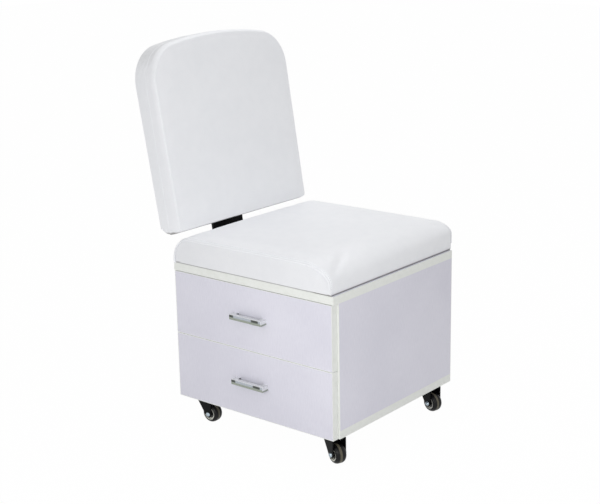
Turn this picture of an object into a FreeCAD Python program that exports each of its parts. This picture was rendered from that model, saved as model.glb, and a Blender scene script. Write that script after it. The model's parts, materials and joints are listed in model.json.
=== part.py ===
"""Rolling pedicure stool: a two-drawer cabinet on four swivel casters, with a
padded seat on its top board and a padded backrest on a bent steel bar.

Frame: millimetres, +Z up, origin on the floor under the middle of the cabinet.
The sitter faces -Y, the backrest is at +Y and the drawers open towards -X.
"""
import FreeCAD, Part
import math
import os
import re

import Sketcher
from FreeCAD import Placement, Rotation, Vector

os.makedirs("parts", exist_ok=True)
doc = FreeCAD.newDocument("pedicure_stool")

# ---------------------------------------------------------------- driving sizes
DRIVING = {
    # cabinet boards
    "cabinet_width": 390,            # X: drawer faces to the outside of the back panel
    "cabinet_depth": 400,            # Y: outside to outside of the two plain panels
    "carcass_height": 281,           # underside of the bottom board to the top board's top
    "board_thickness": 16,
    "edging_thickness": 1,
    "front_thickness": 15,
    "front_gap": 0.3,                # between the drawer fronts and the carcass
    "front_reveal_left": 4,          # drawer front set in from the -Y panel's outside
    "front_reveal_right": 1.5,       # and from the +Y panel's outside
    "front_top_gap": 1.1,
    "front_between_gap": 1,
    "lower_front_height": 134.5,
    # drawers
    "drawer_board": 12,
    "drawer_rear_clearance": 24,     # box to the panel behind it
    "drawer_box_height": 90,
    "drawer_box_rise": 20,           # box above the lower edge of its front
    "drawer_bottom_thickness": 4,
    "drawer_groove_depth": 5,
    "drawer_groove_rise": 8,
    "front_screw_span": 240,         # across the drawer, between its box and its front
    "front_screw_pitch": 45,
    "groove_clearance": 0.1,
    # ball-bearing slides
    "slide_space": 12.7,
    "slide_height": 35,
    "slide_metal": 1.2,
    "slide_rear_clearance": 25,
    "slide_setback": 3,
    "slide_overlap": 85,             # members' overlap at full extension
    "slide_ball_diameter": 4,
    "slide_ball_pitch": 15,
    "slide_ball_rows": 6,
    "slide_ball_clearance": 0.05,
    "slide_outer_depth": 10.5,
    "slide_inner_depth": 8,
    "slide_cage_end_clearance": 0.5,  # cage to the members' ends at full extension
    "slide_cage_metal": 0.8,
    "slide_cage_offset": 3,
    "slide_screw_margin": 35,
    # handles
    "handle_length": 80,
    "handle_projection": 17,
    "handle_section": 8,
    "handle_leg": 10,
    "handle_height": 10.5,
    "handle_rise": 2.5,              # handle's middle above its front's middle
    "handle_edge_radius": 1,
    # seat
    "seat_thickness": 60,
    "seat_board_thickness": 12,
    "seat_board_inset": 14,
    "seat_front_inset": 3,
    "seat_rear_inset": 4,
    "seat_front_radius": 48,
    "seat_rear_radius": 40,
    "seat_side_radius": 6,
    "foam_clearance": 0.3,
    # backrest
    "back_recline": 9.6,             # degrees from upright
    "back_width_top": 399,
    "back_width_bottom": 391,
    "back_height": 380,
    "back_crown": 24,
    "back_corner_radius": 76,
    "back_foot_radius": 16,
    "back_thickness": 62,
    "back_front_radius": 9,
    "back_board_thickness": 12,
    "back_board_inset": 14,
    "back_cover_thickness": 1.5,
    "back_cover_inset": 8,
    "back_lift": 62,                 # backrest's lower edge above the top board
    "back_front_inset": 29,          # its front face there, ahead of the cabinet's rear
    # steel bar
    "bar_width": 90,
    "bar_thickness": 6,
    "bar_bend_radius": 14,
    "bar_leg_length": 235,
    "bar_upright_length": 245,
    "bar_notch_clearance": 2,
    "bar_bolt_span": 50,
    "bar_bolt_pitch": 120,
    "upright_bolt_pitch": 150,
    "bar_bolt_margin": 30,
    # fasteners
    "bolt_radius": 4,
    "bolt_head_radius": 7,
    "bolt_head_height": 5,
    "bolt_clearance": 0.25,
    "bolt_end_margin": 1,
    "tee_nut_radius": 5,
    "tee_nut_flange": 10,
    "tee_nut_flange_thickness": 1.5,
    "screw_radius": 2,
    "screw_head_radius": 4,
    "screw_head_height": 2,
    "small_screw_radius": 1.5,
    "small_screw_head_radius": 3,
    "small_screw_head_height": 1.2,
    "caster_screw_head_radius": 3.5,
    "carcass_screw_radius": 2.5,
    "carcass_screw_length": 50,
    "carcass_screw_margin": 60,
    "thread_clearance": 0.05,
    "screw_bite": 10,
    # casters
    "caster_height": 56,             # floor to the underside of the bottom board
    "caster_inset": 35.5,            # kingpin in from each side of the cabinet
    "caster_trail": 20,
    "caster_plate_width": 36,
    "caster_plate_thickness": 2,
    "caster_screw_span": 27,
    "wheel_radius": 19,
    "wheel_width": 24.5,
    "tyre_crown_radius": 9,
    "hub_radius": 13,
    "hub_rim_width": 21.4,
    "hub_boss_radius": 5,
    "hub_boss_width": 25.4,
    "hub_web_radius": 10.5,
    "hub_web_width": 14,
    "fork_gap": 26,                  # clear width between the cheeks
    "fork_metal": 2,
    "fork_head_length": 30,
    "fork_head_thickness": 2.5,
    "fork_cheek_lead": 9,            # top of a cheek ahead of the kingpin
    "fork_skirt_radius": 14.5,
    "fork_skirt_width": 2,
    "fork_axle_boss": 7,
    "fork_web_gap": 0.6,             # the web's edge follows the tread this far off
    "fork_web_reach": 5,             # how far the web's ends come down beside the tread
    "swivel_gap": 3,                 # caster plate to the fork's head, filled by the balls
    "swivel_ball_circle": 10,
    "swivel_ball_count": 10,
    "swivel_skirt_gap": 0.4,
    "kingpin_radius": 3.5,
    "kingpin_head_radius": 5.5,
    "kingpin_head_height": 2.2,
    "kingpin_headroom": 0.5,         # the notch in the fork's web clears the head by this
    "axle_radius": 3,
    "axle_head_radius": 4.8,
    "axle_head_height": 3.8,
    "axle_nut_height": 2.4,
    "running_clearance": 0.05,
    "near_left_turn": -21,           # caster headings, degrees about +Z from trailing -Y
    "far_left_turn": 3,
    "near_right_turn": -14,
    "far_right_turn": -12,
}

# Sizes that follow from the driving ones.
DERIVED = {
    "half_width": "cabinet_width / 2",
    "half_depth": "cabinet_depth / 2",
    "carcass_top": "caster_height + carcass_height",
    "ceiling": "carcass_top - board_thickness",
    "inside_floor": "caster_height + board_thickness",
    "carcass_front": "front_thickness + front_gap - half_width",
    "inside_half_depth": "half_depth - board_thickness",
    "box_front": "front_thickness - half_width",
    "box_half_width": "inside_half_depth - slide_space",
    "drawer_box_length": "half_width - board_thickness - drawer_rear_clearance - box_front",
    "front_width": "cabinet_depth - front_reveal_left - front_reveal_right",
    "front_middle": "(front_reveal_left - front_reveal_right) / 2",
    "lower_front_bottom": "caster_height",
    "upper_front_bottom": "caster_height + lower_front_height + front_between_gap",
    "upper_front_height": "ceiling - front_top_gap - upper_front_bottom",
    "slide_start": "carcass_front + slide_setback",
    "slide_rise": "drawer_box_rise + drawer_box_height / 2",
    "slide_length": "half_width - board_thickness - slide_rear_clearance - slide_start",
    "slide_screw_pitch": "slide_length / 2 - slide_screw_margin",
    "slide_cage_length": "slide_overlap - 2 * slide_cage_end_clearance",
    "bar_underside": "ceiling - bar_thickness",
    "back_setback": "half_depth - back_front_inset",
    "caster_plate_underside": "caster_height - caster_plate_thickness",
    "fork_head_top": "caster_plate_underside - swivel_gap",
    "fork_head_underside": "fork_head_top - fork_head_thickness",
}

sheet = doc.addObject("Spreadsheet::Sheet", "sizes")
for row, (alias, number) in enumerate(DRIVING.items(), start=1):
    sheet.set(f"A{row}", alias)
    sheet.set(f"B{row}", str(number))
    sheet.setAlias(f"B{row}", alias)
doc.recompute()
for row, (alias, formula) in enumerate(DERIVED.items(), start=1):
    sheet.set(f"D{row}", alias)
    sheet.set(f"E{row}", "=" + formula)
    sheet.setAlias(f"E{row}", alias)
    doc.recompute()


class Sizes:
    """The sheet's cells, read by alias."""

    def __getattr__(self, alias):
        return float(getattr(sheet, alias))


size = Sizes()
ALIASES = re.compile(r"\b(" + "|".join([*DRIVING, *DERIVED]) + r")\b")
sub_parts = []


# ------------------------------------------------------------------ object makers
def bind(thing, **formulas):
    """Bind properties to formulas written with the sheet's aliases."""
    for prop, formula in formulas.items():
        path = prop.replace("__", ".")
        thing.setExpression(path, ALIASES.sub(r"sizes.\1", str(formula)))


def keep(thing, label):
    """Name a finished sub-part, which is written out at the end."""
    thing.Label = label
    sub_parts.append(thing)
    return thing


def box(name, x, y, z, along_x, along_y, along_z):
    """A Part::Box whose lowest corner and edges follow the sheet."""
    thing = doc.addObject("Part::Box", name)
    bind(thing, Length=along_x, Width=along_y, Height=along_z,
         Placement__Base__x=x, Placement__Base__y=y, Placement__Base__z=z)
    return thing


def rod(name, x, y, z, radius, length, axis="Z"):
    """A Part::Cylinder that starts at a point and runs along +X, +Y or +Z."""
    thing = doc.addObject("Part::Cylinder", name)
    turn = {"X": Rotation(Vector(0, 1, 0), 90), "Y": Rotation(Vector(1, 0, 0), -90),
            "Z": Rotation()}[axis]
    thing.Placement = Placement(Vector(), turn)
    bind(thing, Radius=radius, Height=length,
         Placement__Base__x=x, Placement__Base__y=y, Placement__Base__z=z)
    return thing


def bundle(name, things):
    """Several separate solids in one object."""
    thing = doc.addObject("Part::Compound", name)
    thing.Links = things
    return thing


def cut(name, base, tools):
    """A base with tools taken out of it."""
    thing = doc.addObject("Part::Cut", name)
    thing.Base = base
    thing.Tool = tools[0] if len(tools) == 1 else bundle(name + "_tools", tools)
    return thing


def feature(name, shape, place=None):
    """A Part::Feature for a shape that code works out from the sheet."""
    thing = doc.addObject("Part::Feature", name)
    thing.Shape = shape
    thing.Placement = place or Placement()
    return thing


def pin(radius, start, end):
    """A plain cylinder between two points."""
    along = end - start
    return Part.makeCylinder(radius, along.Length, start, along)


def headed(point, direction, radius, length, head_radius, head_height):
    """A screw or bolt: shank from point along direction, head behind the point."""
    shank = Part.makeCylinder(radius, length, point, direction)
    head = Part.makeCylinder(head_radius, head_height, point, direction * -1)
    return shank.fuse(head)


def polygon_prism(points, extrusion):
    """A closed polygon of 3D points, extruded."""
    return Part.Face(Part.makePolygon([*points, points[0]])).extrude(extrusion)


# ------------------------------------------------------------------------ carcass
def edged_board(label, x0, x1, z, holes):
    """A board in the XY plane with four edging strips round it."""
    inset = "edging_thickness"
    blank = box(label + "_blank", f"{x0} + {inset}", f"-half_depth + {inset}", z,
                f"({x1}) - ({x0}) - 2 * {inset}", f"cabinet_depth - 2 * {inset}", "board_thickness")
    keep(cut(label + "_drilled", blank, holes) if holes else blank, label)
    strips = [
        box(label + "_strip", x0, y, z, f"({x1}) - ({x0})", inset, "board_thickness")
        for y in ("-half_depth", "half_depth - " + inset)
    ] + [
        box(label + "_strip", x, f"-half_depth + {inset}", z, inset,
            f"cabinet_depth - 2 * {inset}", "board_thickness")
        for x in (x0, f"({x1}) - {inset}")
    ]
    keep(bundle(label + "_strips", strips), label + "_edging")


def side_screw_spots(side):
    """X and Y of the two screws that tie a flat board to one side panel."""
    y = f"{side} * (half_depth - board_thickness / 2)"
    return [(f"{end} * (half_width - carcass_screw_margin)", y) for end in (-1, 1)]


def back_screw_spots():
    """X and Y of the two screws that tie a flat board to the panel at the back."""
    x = "half_width - board_thickness / 2"
    return [(x, f"{side} * (half_depth - carcass_screw_margin)") for side in (-1, 1)]


def carcass_screw_spots():
    """X and Y of the screws that tie the flat boards to the upright panels."""
    return side_screw_spots(-1) + side_screw_spots(1) + back_screw_spots()


def number(formula):
    """The value of a formula written with the sheet's aliases."""
    values = {alias: getattr(size, alias) for alias in ALIASES.findall(formula)}
    return float(FreeCAD.Units.Quantity(ALIASES.sub(lambda m: f"({values[m.group(1)]:.9f})", formula)))


def bar_bolt_spots():
    """X and Y of the four bolts that hold the bar under the top board."""
    near = "half_depth - bar_leg_length + bar_bolt_margin"
    return [(f"{side} * bar_bolt_span / 2", f"{near} + {step} * bar_bolt_pitch")
            for step in (0, 1) for side in (-1, 1)]


def seat_screw_spots():
    """X and Y of the corner screws between the top board and the seat board."""
    return [(f"{along} * (half_width - carcass_screw_margin)",
             f"{across} * (half_depth - carcass_screw_margin)")
            for along in (-1, 1) for across in (-1, 1)]


def slide_screw_spots(front_bottom):
    """X and Z of the screws along one slide."""
    z = f"{front_bottom} + slide_rise"
    return [(f"slide_start + slide_length / 2 + {step} * slide_screw_pitch", z)
            for step in (-1, 0, 1)]


DRAWERS = {"upper": "upper_front", "lower": "lower_front"}

screw_hole = "carcass_screw_radius + thread_clearance"
bolt_hole = "bolt_radius + bolt_clearance"
wood_hole = "screw_radius + thread_clearance"

top_holes = [rod("top_hole", x, y, "ceiling", screw_hole, "board_thickness")
             for x, y in carcass_screw_spots()]
top_holes += [rod("bolt_hole", x, y, "ceiling", bolt_hole, "board_thickness")
              for x, y in bar_bolt_spots()]
top_holes += [rod("seat_hole", x, y, "ceiling", wood_hole, "board_thickness")
              for x, y in seat_screw_spots()]
edged_board("top_board", "-half_width", "half_width", "ceiling", top_holes)


def caster_spots():
    """Kingpin X and Y and the heading's alias of each caster."""
    across = "(half_width - caster_inset)"
    along = "(half_depth - caster_inset)"
    return {
        "near_left": (f"-{across}", f"-{along}", "near_left_turn"),
        "far_left": (f"-{across}", along, "far_left_turn"),
        "near_right": (across, f"-{along}", "near_right_turn"),
        "far_right": (across, along, "far_right_turn"),
    }


def caster_screw_spots():
    """X and Y of all sixteen caster screws."""
    return [(f"{x} + {a} * caster_screw_span / 2", f"{y} + {b} * caster_screw_span / 2")
            for x, y, turn in caster_spots().values() for a in (-1, 1) for b in (-1, 1)]


bottom_holes = [rod("bottom_hole", x, y, "caster_height", screw_hole, "board_thickness")
                for x, y in carcass_screw_spots()]
bottom_holes += [rod("caster_hole", x, y, "caster_height", wood_hole, "screw_bite")
                 for x, y in caster_screw_spots()]
edged_board("bottom_board", "carcass_front", "half_width", "caster_height", bottom_holes)


def panel_holes(side):
    """Blind holes in one upright side panel: carcass screws and slide screws."""
    bite = "carcass_screw_length - board_thickness"
    holes = []
    for x, y in side_screw_spots(side):
        holes.append(rod("low_hole", x, y, "inside_floor", screw_hole, bite))
        holes.append(rod("high_hole", x, y, f"ceiling - ({bite})", screw_hole, bite))
    start = "-inside_half_depth - screw_bite" if side < 0 else "inside_half_depth"
    for front in DRAWERS.values():
        for x, z in slide_screw_spots(front + "_bottom"):
            holes.append(rod("slide_hole", x, start, z, "small_screw_radius + thread_clearance",
                             "screw_bite", "Y"))
    return holes


def side_panel(label, side, extra):
    """An upright panel between the bottom and top boards."""
    y = "-half_depth" if side < 0 else "inside_half_depth"
    blank = box(label + "_blank", "carcass_front + edging_thickness", y, "inside_floor",
                "half_width - carcass_front - 2 * edging_thickness", "board_thickness",
                "ceiling - inside_floor")
    keep(cut(label + "_drilled", blank, panel_holes(side) + extra), label)


bar_notch = box("bar_notch", "-bar_width / 2 - bar_notch_clearance", "inside_half_depth",
                "bar_underside - bar_notch_clearance", "bar_width + 2 * bar_notch_clearance",
                "board_thickness", "bar_thickness + bar_notch_clearance")
side_panel("front_panel", -1, [])
side_panel("rear_panel", 1, [bar_notch])
keep(bundle("upright_strips", [
    box("upright_strip", x, y, "inside_floor", "edging_thickness", "board_thickness",
        "ceiling - inside_floor")
    for x in ("carcass_front", "half_width - edging_thickness")
    for y in ("-half_depth", "inside_half_depth")
]), "panel_edging")

back_bite = "carcass_screw_length - board_thickness"
back_blank = box("back_panel_blank", "half_width - board_thickness", "-inside_half_depth",
                 "inside_floor", "board_thickness", "2 * inside_half_depth", "ceiling - inside_floor")
back_holes = []
for spot_x, spot_y in back_screw_spots():
    back_holes.append(rod("low_hole", spot_x, spot_y, "inside_floor", screw_hole, back_bite))
    back_holes.append(rod("high_hole", spot_x, spot_y, f"ceiling - ({back_bite})", screw_hole,
                          back_bite))
keep(cut("back_panel_drilled", back_blank, back_holes), "back_panel")

UP, DOWN = Vector(0, 0, 1), Vector(0, 0, -1)
carcass_screws = []
for spot_x, spot_y in carcass_screw_spots():
    foot = Vector(number(spot_x), number(spot_y), size.caster_height)
    crown = Vector(foot.x, foot.y, size.carcass_top)
    carcass_screws += [
        Part.makeCylinder(size.carcass_screw_radius, size.carcass_screw_length, foot, UP),
        Part.makeCylinder(size.carcass_screw_radius, size.carcass_screw_length, crown, DOWN),
    ]
keep(feature("carcass_screw_set", Part.makeCompound(carcass_screws)), "carcass_screws")


# --------------------------------------------------------------------------- seat
def tee_nut(point, direction, length):
    """A tee nut whose flange lies flush at point and whose barrel runs along direction."""
    flange = Part.makeCylinder(size.tee_nut_flange, size.tee_nut_flange_thickness, point, direction)
    barrel = Part.makeCylinder(size.tee_nut_radius, length, point, direction)
    thread = Part.makeCylinder(size.bolt_radius + size.thread_clearance, length, point, direction)
    return flange.fuse(barrel).cut(thread)


seat_top = "carcass_top + seat_board_thickness"
seat_board_blank = box(
    "seat_board_blank", "-half_width + seat_board_inset", "-half_depth + seat_board_inset",
    "carcass_top", "cabinet_width - 2 * seat_board_inset", "cabinet_depth - 2 * seat_board_inset",
    "seat_board_thickness")
seat_holes = []
for spot_x, spot_y in bar_bolt_spots():
    seat_holes.append(rod("barrel_hole", spot_x, spot_y, "carcass_top",
                          "tee_nut_radius + thread_clearance", "seat_board_thickness"))
    seat_holes.append(rod("flange_recess", spot_x, spot_y, f"{seat_top} - tee_nut_flange_thickness",
                          "tee_nut_flange + thread_clearance", "tee_nut_flange_thickness"))
for spot_x, spot_y in seat_screw_spots():
    seat_holes.append(rod("seat_pilot", spot_x, spot_y, "carcass_top", wood_hole, "screw_bite"))
keep(cut("seat_board_drilled", seat_board_blank, seat_holes), "seat_board")

keep(feature("seat_screw_set", Part.makeCompound([
    headed(Vector(number(x), number(y), size.ceiling), UP, size.screw_radius,
           size.board_thickness + size.screw_bite, size.screw_head_radius, size.screw_head_height)
    for x, y in seat_screw_spots()
])), "seat_screws")


def plane_of(body, role):
    """One of a body's own origin planes."""
    return next(f for f in body.Origin.OriginFeatures if f.Role == role)


def sketch_on(body, name, role):
    """A sketch on one of its body's origin planes."""
    sketch = body.newObject("Sketcher::SketchObject", name)
    sketch.AttachmentSupport = (plane_of(body, role), [""])
    sketch.MapMode = "FlatFace"
    return sketch


def tie(sketch, kind, *where, name=None, formula=None):
    """Add a constraint, and bind it by name to a formula if it has one."""
    index = sketch.addConstraint(Sketcher.Constraint(kind, *where))
    if formula:
        sketch.renameConstraint(index, name)
        bind(sketch, **{"Constraints__" + name: formula})
    return index


def rectangle(sketch, left, bottom, width, height):
    """A rectangle whose four sizes are formulas."""
    x0, y0 = number(left), number(bottom)
    x1, y1 = x0 + number(width), y0 + number(height)
    corners = [Vector(x0, y0), Vector(x1, y0), Vector(x1, y1), Vector(x0, y1)]
    for a, b in zip(corners, corners[1:] + corners[:1]):
        sketch.addGeometry(Part.LineSegment(a, b), False)
    for edge in range(4):
        tie(sketch, "Coincident", edge, 2, (edge + 1) % 4, 1)
        tie(sketch, "Horizontal" if edge % 2 == 0 else "Vertical", edge)
    tie(sketch, "DistanceX", -1, 1, 0, 1, x0, name="left", formula=left)
    tie(sketch, "DistanceY", -1, 1, 0, 1, y0, name="bottom", formula=bottom)
    tie(sketch, "DistanceX", 0, 1, 0, 2, x1 - x0, name="width", formula=width)
    tie(sketch, "DistanceY", 1, 1, 1, 2, y1 - y0, name="height", formula=height)


def seat_cushion():
    """The cushion: a side profile with rounded front and rear, hollow over its board."""
    body = doc.addObject("PartDesign::Body", "seat_cushion_body")
    profile = sketch_on(body, "seat_profile", "YZ_Plane")
    front = -size.half_depth + size.seat_front_inset
    rear = size.half_depth - size.seat_rear_inset
    low, high = size.carcass_top, size.carcass_top + size.seat_thickness
    r_front, r_rear = size.seat_front_radius, size.seat_rear_radius

    def line(*ends):
        profile.addGeometry(Part.LineSegment(Vector(*ends[0]), Vector(*ends[1])), False)

    def arc(y, z, radius, start):
        circle = Part.Circle(Vector(y, z), Vector(0, 0, 1), radius)
        profile.addGeometry(Part.ArcOfCircle(circle, start, start + math.pi / 2), False)

    line((front, low), (rear, low))
    line((rear, low), (rear, high - r_rear))
    arc(rear - r_rear, high - r_rear, r_rear, 0)
    line((rear - r_rear, high), (front + r_front, high))
    arc(front + r_front, high - r_front, r_front, math.pi / 2)
    line((front, high - r_front), (front, low))
    for first, second in ((0, 1), (5, 0)):
        tie(profile, "Coincident", first, 2, second, 1)
    for first, second in ((1, 2), (2, 3), (3, 4), (4, 5)):
        tie(profile, "Tangent", first, 2, second, 1)
    for edge in (0, 3):
        tie(profile, "Horizontal", edge)
    for edge in (1, 5):
        tie(profile, "Vertical", edge)
    tie(profile, "DistanceX", 0, 1, -1, 1, -front, name="front",
        formula="half_depth - seat_front_inset")
    tie(profile, "DistanceX", -1, 1, 0, 2, rear, name="rear",
        formula="half_depth - seat_rear_inset")
    tie(profile, "DistanceY", -1, 1, 0, 1, low, name="low", formula="carcass_top")
    tie(profile, "DistanceY", 0, 1, 3, 1, high - low, name="high", formula="seat_thickness")
    tie(profile, "Radius", 2, r_rear, name="rear_radius", formula="seat_rear_radius")
    tie(profile, "Radius", 4, r_front, name="front_radius", formula="seat_front_radius")
    pad = body.newObject("PartDesign::Pad", "seat_block")
    pad.Profile = profile
    pad.SideType = "Symmetric"
    bind(pad, Length="cabinet_width")
    doc.recompute()
    side_edges = [
        f"Edge{n}" for n, edge in enumerate(pad.Shape.Edges, start=1)
        if abs(abs(edge.CenterOfMass.x) - size.half_width) < 0.01
        and edge.CenterOfMass.z > low + 0.01
    ]
    fillet = body.newObject("PartDesign::Fillet", "seat_rolled_edges")
    fillet.Base = (pad, side_edges)
    bind(fillet, Radius="seat_side_radius")
    hollow = sketch_on(body, "seat_hollow_outline", "XY_Plane")
    bind(hollow, AttachmentOffset__Base__z="carcass_top")
    inset = "(seat_board_inset - foam_clearance)"
    rectangle(hollow, f"{inset} - half_width", f"{inset} - half_depth",
              f"cabinet_width - 2 * {inset}", f"cabinet_depth - 2 * {inset}")
    pocket = body.newObject("PartDesign::Pocket", "seat_hollow")
    pocket.Profile = hollow
    pocket.Reversed = True
    bind(pocket, Length="seat_board_thickness + foam_clearance")
    body.Tip = pocket
    doc.recompute()
    if pocket.Shape.Volume >= fillet.Shape.Volume:
        raise RuntimeError("the seat's hollow cuts nothing")
    keep(body, "seat_cushion")


seat_cushion()


# ----------------------------------------------------------------------- backrest
# Backrest pieces are made upright, with their front face on y = 0 and their lower
# edge on z = 0, and are then leaned back and set behind the seat.
LEAN = Rotation(Vector(1, 0, 0), -size.back_recline)
back_place = Placement(Vector(0, size.back_setback, size.carcass_top + size.back_lift), LEAN)


def back_face(inset, y):
    """The backrest's outline, drawn in by inset: feet, sides, corners and a crowned top."""
    half_top = size.back_width_top / 2 - inset
    half_foot = size.back_width_bottom / 2 - inset
    foot = max(size.back_foot_radius - inset, 1)
    corner = size.back_corner_radius - inset
    top = size.back_height - inset
    half_chord = size.back_width_top / 2
    big = (size.back_crown ** 2 + half_chord ** 2) / (2 * size.back_crown) - inset
    middle = top - big
    side_x = half_top - corner
    side_z = middle + math.sqrt((big - corner) ** 2 - side_x ** 2)
    bend = math.atan2(side_z - middle, side_x)

    def at(x, z):
        return Vector(x, y, z)

    def on(cx, cz, radius, angle):
        return at(cx + radius * math.cos(angle), cz + radius * math.sin(angle))

    diagonal = math.pi / 4
    low = inset + foot
    points = [
        at(half_foot - foot, inset),
        on(half_foot - foot, low, foot, -diagonal),
        at(half_foot, low),
        at(half_top, side_z),
        on(side_x, side_z, corner, bend / 2),
        on(side_x, side_z, corner, bend),
        at(0, top),
    ]
    mirrored = [Vector(-p.x, p.y, p.z) for p in points]
    edges = [
        Part.Arc(points[0], points[1], points[2]).toShape(),
        Part.makeLine(points[2], points[3]),
        Part.Arc(points[3], points[4], points[5]).toShape(),
        Part.Arc(points[5], points[6], mirrored[5]).toShape(),
        Part.Arc(mirrored[5], mirrored[4], mirrored[3]).toShape(),
        Part.makeLine(mirrored[3], mirrored[2]),
        Part.Arc(mirrored[2], mirrored[1], mirrored[0]).toShape(),
        Part.makeLine(mirrored[0], points[0]),
    ]
    return Part.Face(Part.Wire(edges))


def back_slab(inset, front, thickness):
    """A slab with the backrest's outline."""
    return back_face(inset, front).extrude(Vector(0, thickness, 0))


cushion_depth = size.back_thickness - size.back_cover_thickness
board_front = cushion_depth - size.back_board_thickness
back_block = back_slab(0, 0, cushion_depth)
front_rim = [edge for edge in back_block.Edges if abs(edge.CenterOfMass.y) < 0.01]
back_block = back_block.makeFillet(size.back_front_radius, front_rim)
board_hollow = back_slab(size.back_board_inset - size.foam_clearance,
                         board_front - size.foam_clearance,
                         size.back_board_thickness + size.foam_clearance)
keep(feature("back_cushion_block", back_block.cut(board_hollow), back_place), "back_cushion")


def upright_bolt_spots():
    """Local X and Z of the four bolts between the bar and the backrest's board."""
    low = size.bar_bolt_margin + size.back_board_inset
    return [(side * size.bar_bolt_span / 2, low + step * size.upright_bolt_pitch)
            for step in (0, 1) for side in (-1, 1)]


BACKWARDS, FORWARDS = Vector(0, 1, 0), Vector(0, -1, 0)
cover_back = size.back_thickness
bar_back = size.back_thickness + size.bar_thickness
back_board = back_slab(size.back_board_inset, board_front, size.back_board_thickness)
back_cover = back_slab(size.back_cover_inset, cushion_depth, size.back_cover_thickness)
tee_nuts, bolts = [], []
for spot_x, spot_z in upright_bolt_spots():
    mouth = Vector(spot_x, board_front, spot_z)
    back_board = back_board.cut(Part.makeCylinder(
        size.tee_nut_radius + size.thread_clearance, size.back_board_thickness, mouth, BACKWARDS))
    back_board = back_board.cut(Part.makeCylinder(
        size.tee_nut_flange + size.thread_clearance, size.tee_nut_flange_thickness, mouth, BACKWARDS))
    back_cover = back_cover.cut(pin(size.bolt_radius + size.bolt_clearance, mouth,
                                    mouth + BACKWARDS * size.back_thickness))
    nut = tee_nut(mouth, BACKWARDS, size.back_board_thickness)
    bolt = headed(Vector(spot_x, bar_back, spot_z), FORWARDS, size.bolt_radius,
                  bar_back - board_front - size.bolt_end_margin,
                  size.bolt_head_radius, size.bolt_head_height)
    for made, shape in ((tee_nuts, nut), (bolts, bolt)):
        shape.Placement = back_place
        made.append(shape)
keep(feature("back_board_panel", back_board, back_place), "back_board")
keep(feature("back_cover_panel", back_cover, back_place), "back_rear_cover")

for spot_x, spot_y in bar_bolt_spots():
    head_point = Vector(number(spot_x), number(spot_y), size.bar_underside)
    nut_top = Vector(head_point.x, head_point.y, number(seat_top))
    bolts.append(headed(head_point, UP, size.bolt_radius,
                        nut_top.z - head_point.z - size.bolt_end_margin,
                        size.bolt_head_radius, size.bolt_head_height))
    tee_nuts.append(tee_nut(nut_top, DOWN, size.seat_board_thickness))
keep(feature("bolt_set", Part.makeCompound(bolts)), "bracket_bolts")
keep(feature("tee_nut_set", Part.makeCompound(tee_nuts)), "bracket_tee_nuts")


def back_bar():
    """The flat bar: a leg under the top board, a bend, and a leaning upright."""
    half = size.bar_width / 2
    foot = back_place.multVec(Vector(0, cover_back, 0))
    lean = LEAN.multVec(UP)
    normal = LEAN.multVec(FORWARDS)
    top = foot + lean * (size.bar_upright_length + size.back_board_inset)
    corner = foot - lean * ((foot.z - size.ceiling) / lean.z)
    turn = math.radians(90 - size.back_recline)
    inner = size.bar_bend_radius
    reach = inner * math.tan(turn / 2)
    leg_end = Vector(0, size.half_depth - size.bar_leg_length, size.ceiling)
    bend_start = corner - Vector(0, reach, 0)
    bend_end = corner + lean * reach
    centre = bend_start + UP * inner
    middle = (bend_start - centre + bend_end - centre).normalize()
    thick = size.bar_thickness
    shift = Vector(-half, 0, 0)
    outer_end = bend_end - normal * thick
    points = {
        "leg_end": leg_end, "bend_start": bend_start, "bend_middle": centre + middle * inner,
        "bend_end": bend_end, "top": top, "outer_top": top - normal * thick,
        "outer_end": outer_end, "outer_middle": centre + middle * (inner + thick),
        "outer_start": bend_start + DOWN * thick, "outer_leg": leg_end + DOWN * thick,
    }
    at = {name: point + shift for name, point in points.items()}
    wire = Part.Wire([
        Part.makeLine(at["leg_end"], at["bend_start"]),
        Part.Arc(at["bend_start"], at["bend_middle"], at["bend_end"]).toShape(),
        Part.makeLine(at["bend_end"], at["top"]),
        Part.makeLine(at["top"], at["outer_top"]),
        Part.makeLine(at["outer_top"], at["outer_end"]),
        Part.Arc(at["outer_end"], at["outer_middle"], at["outer_start"]).toShape(),
        Part.makeLine(at["outer_start"], at["outer_leg"]),
        Part.makeLine(at["outer_leg"], at["leg_end"]),
    ])
    bar = Part.Face(wire).extrude(Vector(size.bar_width, 0, 0))
    hole = size.bolt_radius + size.bolt_clearance
    for x, y in bar_bolt_spots():
        start = Vector(number(x), number(y), size.bar_underside)
        bar = bar.cut(Part.makeCylinder(hole, size.bar_thickness, start, UP))
    for x, z in upright_bolt_spots():
        start = back_place.multVec(Vector(x, cover_back, z))
        bar = bar.cut(Part.makeCylinder(hole, size.bar_thickness, start, LEAN.multVec(BACKWARDS)))
    return bar


keep(feature("back_bar", back_bar()), "back_bracket")


# ------------------------------------------------------------------------- slides
def channel(depth, height, side, back, length):
    """A slide member: a web at the back and two flanges towards the other member.

    side is the direction in Y from the web to the flanges' edges, back the web's Y.
    """
    metal = size.slide_metal
    half = height / 2
    profile = [(0, -half), (depth, -half), (depth, metal - half), (metal, metal - half),
               (metal, half - metal), (depth, half - metal), (depth, half), (0, half)]
    points = [Vector(0, back + side * out, up) for out, up in profile]
    return polygon_prism(points, Vector(length, 0, 0))


ball_radius = size.slide_ball_diameter / 2
race = size.slide_height / 2 - size.slide_metal
ball_height = race - ball_radius - size.slide_ball_clearance
inner_height = 2 * (ball_height - ball_radius - size.slide_ball_clearance)
flange_end = size.slide_space - size.slide_inner_depth
ball_line = (flange_end + size.slide_outer_depth) / 2


def outer_member(side, z):
    """The cabinet's half of a slide, with holes for its screws."""
    member = channel(size.slide_outer_depth, size.slide_height, -side,
                     side * size.inside_half_depth, size.slide_length)
    member.translate(Vector(size.slide_start, 0, z))
    return member


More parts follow.
